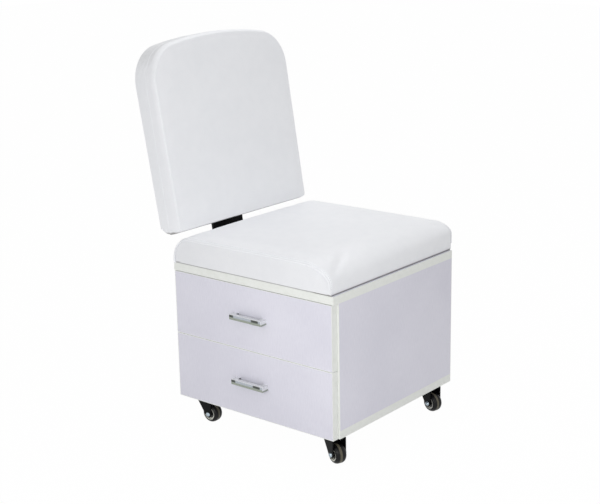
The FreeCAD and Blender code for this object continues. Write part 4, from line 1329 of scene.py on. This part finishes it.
@dataclass
class SeatCushion:
    """The seat: a wrapped pad with a rolled front and welted side panels.

    Pairs named nose and tuck are for the -X side and the +X side. The nose is the
    rolled front, the heel the rounded rear, and the hem the turned-under foot of both.
    """

    node: str = "seat_cushion"
    body: str = "cabinet"
    half_width: float = 198.2 * MM
    far_shift: float = 2.2 * MM
    front_inset: float = 1.6 * MM
    rear_overhang: float = 1.0 * MM
    base_lift: float = 0.3 * MM
    seam_height: float = 56.5 * MM
    nose_height: tuple[float, float] = (22.0 * MM, 34.0 * MM)
    nose_depth: tuple[float, float] = (69.0 * MM, 40.0 * MM)
    heel_height: float = 16.5 * MM
    heel_radius: float = 40.0 * MM
    hem_depth: float = 20.0 * MM
    hem_turn: float = 20.0
    roll_drop: float = 5.0 * MM
    roll_width: float = 7.0 * MM
    level_draw: float = 0.45
    upright_draw: float = 0.55
    rise: float = 20.0 * MM
    crown: float = 1.5 * MM
    crown_fade: float = 0.7
    rear_fall: float = 2.0 * MM
    tuck: tuple[float, float] = (1.0 * MM, 2.6 * MM)
    tuck_width: float = 9.0 * MM
    tuck_height: float = 8.0 * MM
    count: int = 150
    sole_count: int = 90
    panel_rings: int = 16
    panel_span: tuple[float, float] = (0.04, 0.98)
    roll_rings: int = 9
    top_rings: int = 50
    top_span: tuple[float, float] = (0.98, 0.0)
    # painted shade on the hem and the side panels
    hem_shade: float = 1.3 * MM
    hem_shade_growth: float = 0.8
    hem_shade_behind: float = 0.6
    panel_shade: float = 0.085
    panel_edge: float = 0.6 * MM
    sole_hold: float = 8.0 * MM
    seam_hold: float = 4.0 * MM
    seam_grip: float = 0.9
    swell: float = 1.4 * MM
    swell_growth: float = 2.2 * MM
    swell_edge: float = 14.0 * MM
    swell_fade: float = 0.6
    welt_start: int = 4
    welt_lift: float = 1.3 * MM
    stitch_row: float = 4.0 * MM
    stitch_lift: float = 0.1 * MM
    welt: Welt = field(default_factory=lambda: Welt(1.6 * MM))
    stitches: StitchRow = field(default_factory=StitchRow)
    stuffing: Stuffing = field(default_factory=Stuffing)

    def __post_init__(self) -> None:
        """Reads the space that the pad fills."""
        self.low, self.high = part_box(self.node)
        self.front = self.low.y + self.front_inset
        self.rear = self.high.y + self.rear_overhang
        self.base = self.low.z + self.base_lift

    def profile(self, across: float) -> Points:
        """Gives the side view's line from the lower front over the top to the lower rear.

        Args:
            across: Which side it is for, from 0 at -X to 1 at +X, where the nose is fuller.

        Returns:
            The line as Y and Z.
        """
        nose_height = float(np.interp(across, (0, 1), self.nose_height))
        nose_depth = float(np.interp(across, (0, 1), self.nose_depth))
        nose = self.base + nose_height
        heel = self.base + self.heel_height
        drop = self.seam_height - nose_height
        turn, deep = self.hem_turn, self.hem_depth
        line = bend((self.front + deep, nose),
                    (deep, nose_height / math.sin(math.radians(turn))), 180 + turn, 180)
        line += bend((self.front + nose_depth, nose), (nose_depth, drop), 180, 90)
        line += bend((self.rear - self.heel_radius, heel),
                     (self.heel_radius, self.seam_height - self.heel_height), 90, 0)
        line += bend((self.rear - deep, heel),
                     (deep, self.heel_height / math.sin(math.radians(turn))), 0, -turn)
        line = evened(line, self.count)
        fall = unit(line[:, 0] / self.rear) ** 2 * self.rear_fall
        line[:, 1] -= fall * unit((line[:, 1] - self.base) / self.seam_height)
        return line

    def ring(self, x: float, inset: float, lift: float, share: float = 1.0) -> Points:
        """Makes one closed ring of the pad.

        Args:
            x: Where it stands across the seat.
            inset: How far its line is drawn in.
            lift: How far its top is raised.
            share: Its size about the middle of a side panel.

        Returns:
            The ring's points.
        """
        line = self.profile((x / self.half_width + 1) / 2)
        rise = unit((line[:, 1] - self.base) / self.rise)
        heading = np.gradient(line, axis=0)
        level = np.abs(heading[:, 0]) / np.linalg.norm(heading, axis=1)
        drawn = inset * rise * (self.upright_draw + self.level_draw * level)
        line = drawn_in(line, drawn, closed=False)
        back = unit(line[:, 0] / self.rear)
        line[:, 1] = (np.maximum(line[:, 1], self.base)
                      + lift * rise * (1 - self.crown_fade * back))
        sole = np.linspace(line[-1], line[0], self.sole_count)[1:-1]
        sole[:, 1] = self.base
        loop = np.vstack([line, sole])
        middle = np.array([(self.front + self.rear) / 2, self.base + self.seam_height / 2])
        loop = middle + (loop - middle) * share
        edge = fading(self.half_width - abs(x), self.tuck_width)
        low = fading(loop[:, 1] - self.base, self.tuck_height) ** 2
        pulled = -np.sign(x) * edge * low * self.tuck[int(x > 0)]
        return np.column_stack([x + self.far_shift + pulled, loop])

    def stations(self) -> list[tuple[float, float, float, float]]:
        """Lists the rings from one side of the seat to the other.

        Returns:
            Each ring's place across, inset, lift and size.
        """
        side = [(self.half_width, self.roll_drop, 0.0, share)
                for share in np.linspace(*self.panel_span, self.panel_rings)]
        for angle in np.radians(np.linspace(0, 90, self.roll_rings)):
            x = self.half_width - self.roll_width * (1 - math.cos(angle))
            side.append((x, self.roll_drop * (1 - math.sin(angle)), 0.0, 1.0))
        for share in np.linspace(*self.top_span, self.top_rings):
            x = share * (self.half_width - self.roll_width)
            side.append((x, 0.0, self.crown * (1 - share ** 2), 1.0))
        left = [(-x, *rest) for x, *rest in side]
        return left + side[-2::-1]

    def seam(self, side: int, up: float = 0.0) -> Points:
        """Gives the line of one side seam, or of a row a little above it.

        Args:
            side: -1 or 1, the side of the seat.
            up: How far up the roll the row lies.

        Returns:
            The line round the side panel's visible edge.
        """
        share = up / self.roll_drop
        inset = self.roll_drop * (1 - share)
        across = self.roll_width * (1 - math.sqrt(max(0.0, 1 - share ** 2)))
        ring = self.ring(side * (self.half_width - across), inset, 0.0)
        return ring[:self.count + 1]

    def painted_shades(self, ring: Points) -> Points:
        """Paints shade on the turned-under hem and on the side panels.

        Args:
            ring: A ring's points.

        Returns:
            How much painted shade each point takes, from 0.
        """
        # painted shade: darker near the hem's foot, reaching higher at the front towards +X and
        # fainter behind, and a little darker on the side panels
        across = unit(ring[:, 0] / self.half_width)
        front = ring[:, 1] < self.front + 2 * self.hem_depth
        dark = self.hem_shade * (1 + self.hem_shade_growth * across * front)
        hem = fading(ring[:, 2] - self.base, dark, SHORT_PLATEAU)
        hem *= np.where(front, 1.0, self.hem_shade_behind)
        inside = self.half_width - np.abs(ring[:, 0] - self.far_shift)
        return hem + fading(inside, self.panel_edge, PLATEAU) * self.panel_shade

    def hold(self, points: Points) -> Points:
        """Holds the sole and the seams while the cover swells.

        Args:
            points: Points of the pad.

        Returns:
            How firmly each is held, from 0 to 1.
        """
        sole = fading(points[:, 2] - self.base, self.sole_hold, PLATEAU)
        gap = np.full(len(points), 1.0)
        for side in (-1, 1):
            for spot in self.seam(side)[::2]:
                gap = np.minimum(gap, np.linalg.norm(points - spot, axis=1))
        return np.maximum(sole, fading(gap, self.seam_hold, PLATEAU) * self.seam_grip)

    def reach(self, points: Points) -> Points:
        """Lets the top swell most and the side panels little.

        Args:
            points: Points of the pad.

        Returns:
            How far each may move.
        """
        inside = self.half_width - np.abs(points[:, 0] - self.far_shift)
        back = unit(points[:, 1] / self.rear)
        growth = unit(inside / self.swell_edge) * (1 - self.swell_fade * back)
        return self.swell + self.swell_growth * growth

    def build(self) -> list[bpy.types.Object]:
        """Builds, swells and dresses the seat.

        Returns:
            The pad, its welts and its stitches.
        """
        rings = [self.ring(*station) for station in self.stations()]
        pad = loft("seat_pad", rings, [self.painted_shades(ring) for ring in rings])
        self.stuffing.swell(pad, self.hold, self.reach)
        pad.data.materials.append(LEATHER.material())
        pieces = [pad]
        for side, word in ((-1, "left"), (1, "right")):
            seam = snapped(self.seam(side)[self.welt_start:], pad, self.welt_lift)
            row = snapped(self.seam(side, up=self.stitch_row), pad, self.stitch_lift)
            pieces.append(self.welt.sew(f"seat_welt_{word}", seam, LEATHER, closed=False))
            pieces.append(self.stitches.sew(f"seat_stitches_{word}", row, THREAD, closed=False))
        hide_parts(self.node)
        for piece in pieces:
            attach(piece, self.body)
        return pieces


@dataclass
class BackCushion:
    """The backrest pad: a flat face in a rolled edge, a sewn band and a stapled rear.

    It is shaped upright, its front plane at Y 0 and its foot at Z 0, and leaned back.
    The sags say how far the foot's edge hangs at each of the sag depths.
    """

    node: str = "back_cushion"
    body: str = "cabinet"
    recline: float = 9.6
    foot: tuple[float, float] = (171.0 * MM, 399.0 * MM)
    width_top: float = 399.0 * MM
    width_bottom: float = 391.0 * MM
    height: float = 380.0 * MM
    crown: float = 24.0 * MM
    corner: float = 76.0 * MM
    foot_corner: float = 8.0 * MM
    foot_lift: float = 1.6 * MM
    depth: float = 60.5 * MM
    cover_depth: float = 62.0 * MM
    front_back: float = 4.0 * MM
    dish: float = 3.0 * MM
    lip: float = 0.5 * MM
    roll: float = 11.5 * MM
    roll_turn: float = 60.0
    roll_growth: float = 1.1
    roll_pinch: float = 0.6
    sag_depths: tuple[float, ...] = (8.0 * MM, 24.0 * MM, 40.0 * MM, 50.0 * MM, 60.5 * MM)
    sags: tuple[float, ...] = (0.0, 2.4 * MM, 4.4 * MM, 2.0 * MM, -7.0 * MM)
    sag_height: float = 24.0 * MM
    sag_middle: float = 0.4
    sag_corner: float = 0.6
    sag_corner_from: float = 150.0 * MM
    sag_corner_width: float = 40.0 * MM
    rear_roll: float = 2.5 * MM
    rear_turns: tuple[float, ...] = (30.0, 60.0, 90.0)
    seam_back: float = 28.0 * MM
    seam_calming: int = 2
    count: int = 460
    face_rings: int = 48
    face_span: tuple[float, float] = (0.03, 1.0)
    roll_rings: int = 10
    band_rings: int = 26
    rear_rings: int = 14
    rear_span: tuple[float, float] = (0.97, 0.03)
    # painted shade on the turned-under foot and on the top of the band
    foot_shade: float = 0.7
    foot_shade_from: float = 0.9 * MM
    foot_shade_blur: float = 1.4 * MM
    top_shade: float = 0.17
    top_shade_blur: float = 4.0 * MM
    top_shade_height: float = 2.2
    rear_hold: tuple[float, float] = (6.0 * MM, 3.0 * MM)
    seam_hold: float = 4.0 * MM
    rim_hold: float = 12.0 * MM
    grip: float = 0.85
    swell: float = 1.3 * MM
    face_swell: float = 0.7 * MM
    face_depth: float = 14.0 * MM
    staple_inset: float = 13.0 * MM
    staple_lift: float = 0.45 * MM
    welt: Welt = field(default_factory=lambda: Welt(0.6 * MM))
    staples: StapleRow = field(default_factory=StapleRow)
    stuffing: Stuffing = field(default_factory=Stuffing)

    def crown_radius(self) -> float:
        """Gives the radius of the arc along the top."""
        return (self.crown ** 2 + (self.width_top / 2) ** 2) / (2 * self.crown)

    def corner_centre(self) -> tuple[float, float]:
        """Gives the middle of the right top corner's arc, which meets the top's arc.

        Returns:
            It as X and height.
        """
        big = self.crown_radius()
        side_x = self.width_top / 2 - self.corner
        return side_x, self.height - big + math.sqrt((big - self.corner) ** 2 - side_x ** 2)

    def outline(self) -> Points:
        """Draws the face's outline, clockwise seen from the front.

        Returns:
            Its points as X and height.
        """
        big = self.crown_radius()
        middle = self.height - big
        side_x, side_z = self.corner_centre()
        turn = math.degrees(math.atan2(side_z - middle, side_x))
        foot = self.foot_corner
        right = bend((0.0, middle), (big, big), 90, turn)
        right += bend((side_x, side_z), (self.corner, self.corner), turn, 0)
        right += bend((self.width_bottom / 2 - foot, self.foot_lift + foot), (foot, foot), 0, -90)
        left = [(-x, z) for x, z in reversed(right)]
        return evened(right + left, self.count, closed=True)

    def lean(self) -> Points:
        """Gives the turn that leans the upright pad back."""
        return np.array(Matrix.Rotation(-math.radians(self.recline), 3, "X"))

    def placed(self, points: Points) -> Points:
        """Leans points of the upright pad back and sets them behind the seat."""
        return points @ self.lean().T + np.array([0.0, *self.foot])

    def upright(self, points: Points) -> Points:
        """Takes placed points back to the upright pad."""
        return (points - np.array([0.0, *self.foot])) @ self.lean()

    def ring(self, inset: float, back: float, share: float = 1.0) -> Points:
        """Makes a closed ring at a depth behind the front, leaned into place.

        Args:
            inset: How far the outline is drawn in.
            back: How far behind the front plane it lies.
            share: Its size about the middle of the face.

        Returns:
            The ring's points.
        """
        middle = np.array([0.0, self.height / 2])
        outline = self.outline()
        low = unit(1 - outline[:, 1] / self.height) * share
        drawn = drawn_in(outline, inset * (1 - self.roll_pinch * low), closed=True)
        flat = middle + (drawn - middle) * share
        depth = self.eased(back, low)
        flat[:, 1] -= self.sagged(flat, depth)
        return self.placed(np.column_stack([flat[:, 0], depth, flat[:, 1]]))

    def eased(self, back: float, low: Points) -> Points:
        """Makes the front roll deeper towards the foot.

        Args:
            back: How far behind the front plane a ring lies.
            low: How near the foot each of its points is, from 0 to 1.

        Returns:
            The depth of each point.
        """
        full = self.depth - self.front_back
        behind = back - self.front_back
        grown = self.roll * (1 + self.roll_growth * low)
        if behind <= self.roll:
            return self.front_back + behind * grown / self.roll
        return self.front_back + grown + (behind - self.roll) * (full - grown) / (full - self.roll)

    def sagged(self, flat: Points, depth: Points) -> Points:
        """Gives how far each point of the foot hangs, or is tucked up at the rear.

        Args:
            flat: The points as X and height.
            depth: How far behind the front plane each lies.

        Returns:
            The drop of each point.
        """
        near = fading(flat[:, 1] - self.foot_lift, self.sag_height) ** 2
        cornered = unit((np.abs(flat[:, 0]) - self.sag_corner_from) / self.sag_corner_width)
        end = self.sag_middle + self.sag_corner * cornered
        drop = np.interp(depth, self.sag_depths, self.sags)
        return drop * near * np.where(drop < 0, end, 1.0)

    def stations(self) -> list[tuple[float, float, float]]:
        """Lists the rings from the front's middle to the rear's.

        Returns:
            Each ring's inset, depth and size.
        """
        turns = np.radians(np.linspace(self.roll_turn, 0, self.roll_rings))
        roll = [(self.roll * (1 - math.cos(turn)),
                 self.front_back + self.roll * (1 - math.sin(turn)), 1.0) for turn in turns]
        edge, level, _ = roll[0]
        rows = [(edge + self.lip, level + self.dish * (1 - share ** 2), share)
                for share in np.linspace(*self.face_span, self.face_rings)]
        rows += roll
        start = self.front_back + self.roll
        end = self.depth - self.rear_roll
        rows += [(0.0, back, 1.0) for back in np.linspace(start, end, self.band_rings)[1:]]
        rows += [(self.rear_roll * (1 - math.cos(turn)), end + self.rear_roll * math.sin(turn),
                  1.0) for turn in np.radians(self.rear_turns)]
        rows += [(self.rear_roll, self.depth, share)
                 for share in np.linspace(*self.rear_span, self.rear_rings)]
        return rows

    def painted_shades(self, ring: Points) -> Points:
        """Paints shade on the turned-under foot and on the top of the band.

        Args:
            ring: A ring's points.

        Returns:
            How much painted shade each point takes, from 0.
        """
        local = self.upright(ring)
        # painted shade: darker at the foot's edge and under it, and a little darker on the band
        # near its top
        foot = unit((self.foot_lift + self.foot_shade_from - local[:, 2]) / self.foot_shade_blur)
        behind = unit((local[:, 1] - self.front_back - self.roll) / self.top_shade_blur)
        shaded = self.top_shade_height * self.crown
        high = unit((local[:, 2] - self.height + shaded) / self.crown)
        return foot * self.foot_shade + self.top_shade * behind * high

    def hold(self, points: Points) -> Points:
        """Holds the rear face, the face's edge and the seam while the cover swells.

        Args:
            points: Points of the pad.

        Returns:
            How firmly each is held, from 0 to 1.
        """
        local = self.upright(points)
        begin, blur = self.rear_hold
        rear = unit((local[:, 1] - (self.depth - begin)) / blur)
        gap = self.edge_distance(local)
        seam = fading(np.abs(local[:, 1] - self.seam_back), self.seam_hold, SHORT_PLATEAU)
        seam *= gap < self.seam_hold
        rim = fading(gap, self.rim_hold, PLATEAU) * (local[:, 1] < self.front_back + self.roll)
        return np.maximum.reduce([rear, seam * self.grip, rim * self.grip])

    def reach(self, points: Points) -> Points:
        """Lets the band swell a little and the face hardly at all.

        Args:
            points: Points of the pad.

        Returns:
            How far each may move.
        """
        face = fading(self.upright(points)[:, 1], self.face_depth)
        return self.swell + (self.face_swell - self.swell) * face

    def edge_distance(self, local: Points) -> Points:
        """Measures roughly how far inside the outline points lie.

        Args:
            local: Points of the upright pad.

        Returns:
            The distance of each.
        """
        gap = np.full(len(local), 1.0)
        for spot in self.outline()[::2]:
            gap = np.minimum(gap, np.hypot(local[:, 0] - spot[0], local[:, 2] - spot[1]))
        return gap

    def folds(self) -> tuple[Folds, Folds]:
        """Places the folds of the leather at the pad's corners.

        Returns:
            Those round the top corners and those round the foot's corners.
        """
        foot = self.foot_corner
        return (Folds(self.corner_centre(), facing=40.0, spread=38.0, across=4.0,
                      around=0.012, depth=0.4 * MM),
                Folds((self.width_bottom / 2 - foot, foot), facing=-35.0, spread=60.0,
                      across=1.5, around=0.03, depth=0.6 * MM))

    def fold(self, pad: bpy.types.Object) -> None:
        """Folds the band's leather round the pad's corners.

        Args:
            pad: The swollen pad.
        """
        local = self.upright(columns(pad.data.vertices, "co"))
        start = self.front_back + self.roll
        band = (local[:, 1] - start) / (self.depth - self.rear_roll - start)
        for folds in self.folds():
            local += folds.raised(local, band)
        pad.data.vertices.foreach_set("co", self.placed(local).ravel())
        pad.data.update()

    def build(self) -> list[bpy.types.Object]:
        """Builds, swells and dresses the backrest.

        Returns:
            The pad, its seam's welt and the staples of its rear cover.
        """
        rings = [self.ring(*station) for station in self.stations()]
        pad = loft("back_pad", rings, [self.painted_shades(ring) for ring in rings])
        self.stuffing.swell(pad, self.hold, self.reach)
        self.fold(pad)
        pad.data.materials.append(LEATHER.material())
        seam = calmed(snapped(self.ring(0.0, self.seam_back), pad, 0.0), self.seam_calming)
        pieces = [pad, self.welt.sew("back_welt", seam, LEATHER)]
        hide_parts(self.node)
        behind = self.ring(self.staple_inset, self.cover_depth + self.staple_lift)
        facing = Vector(self.placed(np.array([[0.0, 1.0, 0.0]]))[0]
                        - self.placed(np.zeros((1, 3)))[0])
        staples = self.staples.drive("back_cover_staples", behind, facing, ZINC)
        pieces.append(staples)
        for piece in pieces:
            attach(piece, self.body)
        return pieces


# ------------------------------------------------------------ boards and fittings
@dataclass
class CabinetFinishes:
    """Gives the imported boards, bars, slides and casters their finishes."""

    corners: tuple[str, ...] = ("near_left", "far_left", "near_right", "far_right")
    drawers: tuple[str, ...] = ("upper", "lower")
    laminate: Finish = Melamine("pale_melamine")
    band: Finish = EdgeBand("cream_edge_band")
    box_board: Finish = Melamine("white_melamine", shade(236, 236, 236), shade(228, 228, 229),
                                 roughness=0.5)
    powder: Finish = PowderCoat("black_powder_coat")
    chrome: Finish = PlatedMetal("bright_chrome", shade(176, 188, 196), shade(150, 162, 170),
                                 roughness=0.1)
    plywood: Finish = Plywood("raw_plywood")
    hardboard: Finish = Hardboard("drawer_hardboard")
    backing: Finish = GrainedVinyl("rear_cover_vinyl")

    def by_slot(self) -> dict[str, Finish]:
        """Pairs each of the record's slots with a finish, apart from those made by place.

        Returns:
            The finishes by slot.
        """
        return {
            "laminate": self.laminate,
            "edge_band": self.band,
            "drawer_board": self.box_board,
            "hardboard": self.hardboard,
            "plywood": self.plywood,
            "backing": self.backing,
            "black_steel": self.powder,
            "zinc_steel": ZINC,
            "chrome": self.chrome,
            "ball_cage": ZINC,
        }

    def by_place(self) -> dict[str, Finish]:
        """Pairs single nodes with finishes of their own.

        Returns:
            The finishes by node, for the drawers' edges and pulls, and the casters' pieces.
        """
        # the drawers' banding takes painted light along the joint of the two fronts
        joint = (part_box("upper_drawer_edging")[0].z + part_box("lower_drawer_edging")[1].z) / 2
        painted_light_strip = EdgeBand("drawer_edge_band_painted_light", joint=joint)
        finishes: dict[str, Finish] = {"caster_kingpins": self.powder}
        for drawer in self.drawers:
            low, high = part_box(f"{drawer}_handle")
            finishes[f"{drawer}_drawer_edging"] = painted_light_strip
            # each pull's painted highlight and painted reflection follow its own height and length
            finishes[f"{drawer}_handle"] = PullMetal(
                f"{drawer}_pull_painted_light", middle=(low.z + high.z) / 2,
                height=high.z - low.z, ends=(low.y, high.y))
        turns = {joint["name"]: joint for joint in frame["joints"]}
        for corner in self.corners:
            turn = turns[f"{corner}_roll"]
            place = {"centre": tuple(turn["pos_m"]), "axle": tuple(turn["axis"])}
            finishes[f"{corner}_tyre"] = TreadRubber(f"{corner}_tread", **place)
            finishes[f"{corner}_hub"] = HubPlastic(f"{corner}_hub_plastic", **place)
        return finishes

    def dress(self) -> int:
        """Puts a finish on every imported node.

        Returns:
            The number of nodes dressed.
        """
        slots, places = self.by_slot(), self.by_place()
        dressed = set()
        for name, node in frame["nodes"].items():
            for index, worn in enumerate(node.data.materials):
                finish = places.get(name) or slots.get(worn.name.split(".")[0])
                if finish:
                    node.data.materials[index] = finish.material()
                    dressed.add(name)
        return len(dressed)


# ------------------------------------------------------------------------- studio
@dataclass(frozen=True)
class SoftLamp:
    """A square area lamp that looks at a point."""

    name: str
    place: tuple[float, float, float]
    target: tuple[float, float, float]
    size: float
    watts: float

    def hang(self) -> None:
        """Adds the lamp."""
        data = bpy.data.lights.new(self.name, "AREA")
        data.size = self.size
        data.energy = self.watts
        lamp = bpy.data.objects.new(self.name, data)
        bpy.context.scene.collection.objects.link(lamp)
        lamp.visible_camera = False
        lamp.location = self.place
        lamp.rotation_euler = (Vector(self.target) - lamp.location).to_track_quat(
            "-Z", "Y").to_euler()


@dataclass(frozen=True)
class Viewpoint:
    """Where the camera stands and how it is turned; angles in degrees, lens in mm."""

    place: tuple[float, float, float] = (-1.95602, -1.57711, 1.04083)
    azimuth: float = -50.48
    elevation: float = 15.46
    roll: float = -1.09
    lens: float = 78.27
    sensor: float = 36.0
    sight: float = 100.0

    def set(self) -> None:
        """Adds the camera and makes it the scene's."""
        azimuth, elevation, roll = map(math.radians, (self.azimuth, self.elevation, self.roll))
        back = Vector((math.sin(azimuth) * math.cos(elevation),
                       -math.cos(azimuth) * math.cos(elevation), math.sin(elevation)))
        right = Vector((math.cos(azimuth), math.sin(azimuth), 0.0))
        up = back.cross(right)
        across = right * math.cos(roll) + up * math.sin(roll)
        upward = up * math.cos(roll) - right * math.sin(roll)
        data = bpy.data.cameras.new("camera")
        data.lens = self.lens
        data.sensor_width = self.sensor
        data.clip_end = self.sight
        camera = bpy.data.objects.new("camera", data)
        bpy.context.scene.collection.objects.link(camera)
        turn = Matrix((across, upward, back)).transposed().to_4x4()
        camera.matrix_world = Matrix.Translation(self.place) @ turn
        bpy.context.scene.camera = camera


@dataclass(frozen=True)
class Studio:
    """A pale floor, an even white surround, four soft lamps and the camera."""

    viewpoint: Viewpoint = Viewpoint()
    floor_reach: float = 9.0
    floor_drop: float = 0.2 * MM
    floor_tone: Colour = shade(236, 236, 236)
    floor_glow: float = 0.985
    white: Colour = (1.0, 1.0, 1.0, 1.0)
    surround: float = 0.6
    lamps: tuple[SoftLamp, ...] = (
        SoftLamp("side_lamp", (-1.1, -0.35, 0.5), (-0.1, -0.1, 0.3), size=0.4, watts=3.05),
        SoftLamp("front_lamp", (-0.45, -0.85, 0.4), (-0.1, -0.1, 0.3), size=0.3, watts=0.68),
        SoftLamp("top_lamp", (0.0, -0.2, 1.9), (0.0, 0.0, 0.4), size=0.8, watts=2.6),
        SoftLamp("far_lamp", (0.8, 0.4, 2.2), (0.0, 0.0, 0.4), size=1.0, watts=6.8),
    )

    def seen(self, graph: Graph) -> Value:
        """Tells the rays that show a surface from those that light with it.

        Args:
            graph: The tree that asks.

        Returns:
            1 for camera, mirror and transmission rays, and 0 for the others.
        """
        path = graph.node("ShaderNodeLightPath")
        direct, glossy, through = (Value(graph, path.outputs[f"Is {ray} Ray"])
                                   for ray in ("Camera", "Glossy", "Transmission"))
        return (direct + glossy + through).least(1.0)

    def floor_material(self) -> bpy.types.Material:
        """Paints a floor that shows near white and keeps a faint shadow.

        Returns:
            The material.
        """
        paint = Paint("studio_floor")
        matt = paint.node("ShaderNodeBsdfDiffuse", None, {"Color": self.floor_tone})
        glow = paint.node("ShaderNodeEmission", None, {"Color": self.white, "Strength": 1.0})
        mixed = paint.node("ShaderNodeMixShader", None,
                           {0: self.seen(paint) * self.floor_glow,
                            1: matt.outputs[0], 2: glow.outputs[0]})
        paint.node("ShaderNodeOutputMaterial", None, {"Surface": mixed.outputs[0]})
        return paint.material

    def set_world(self) -> None:
        """Makes the surround white where it is seen and plainer where it only lights."""
        world = bpy.data.worlds.new("surround")
        world.use_nodes = True
        bpy.context.scene.world = world
        graph = Graph(world.node_tree)
        graph.tree.nodes.clear()
        strength = self.surround + self.seen(graph) * (1 - self.surround)
        glow = graph.node("ShaderNodeBackground", None,
                          {"Color": self.white, "Strength": strength})
        graph.node("ShaderNodeOutputWorld", None, {"Surface": glow.outputs[0]})

    def set_up(self) -> None:
        """Lays the floor, hangs the lamps and sets the camera."""
        reach = self.floor_reach
        mesh = bpy.data.meshes.new("floor")
        mesh.from_pydata([(-reach, -reach, 0), (reach, -reach, 0), (reach, reach, 0),
                          (-reach, reach, 0)], [], [(0, 1, 2, 3)])
        floor = shown("floor", mesh, smooth=False)
        floor.location.z = -self.floor_drop
        floor.data.materials.append(self.floor_material())
        self.set_world()
        for lamp in self.lamps:
            lamp.hang()
        bpy.context.scene.view_settings.view_transform = "Standard"
        self.viewpoint.set()


def main() -> None:
    """Builds the pieces in order and dresses the model."""
    logging.basicConfig(level=logging.INFO, format="%(message)s")
    Studio().set_up()
    for maker in (SeatCushion(), BackCushion()):
        for piece in maker.build():
            log.info("%s: %d faces", piece.name, len(piece.data.polygons))
    log.info("%d packed nodes dressed", CabinetFinishes().dress())


if __name__ == "__main__":
    main()
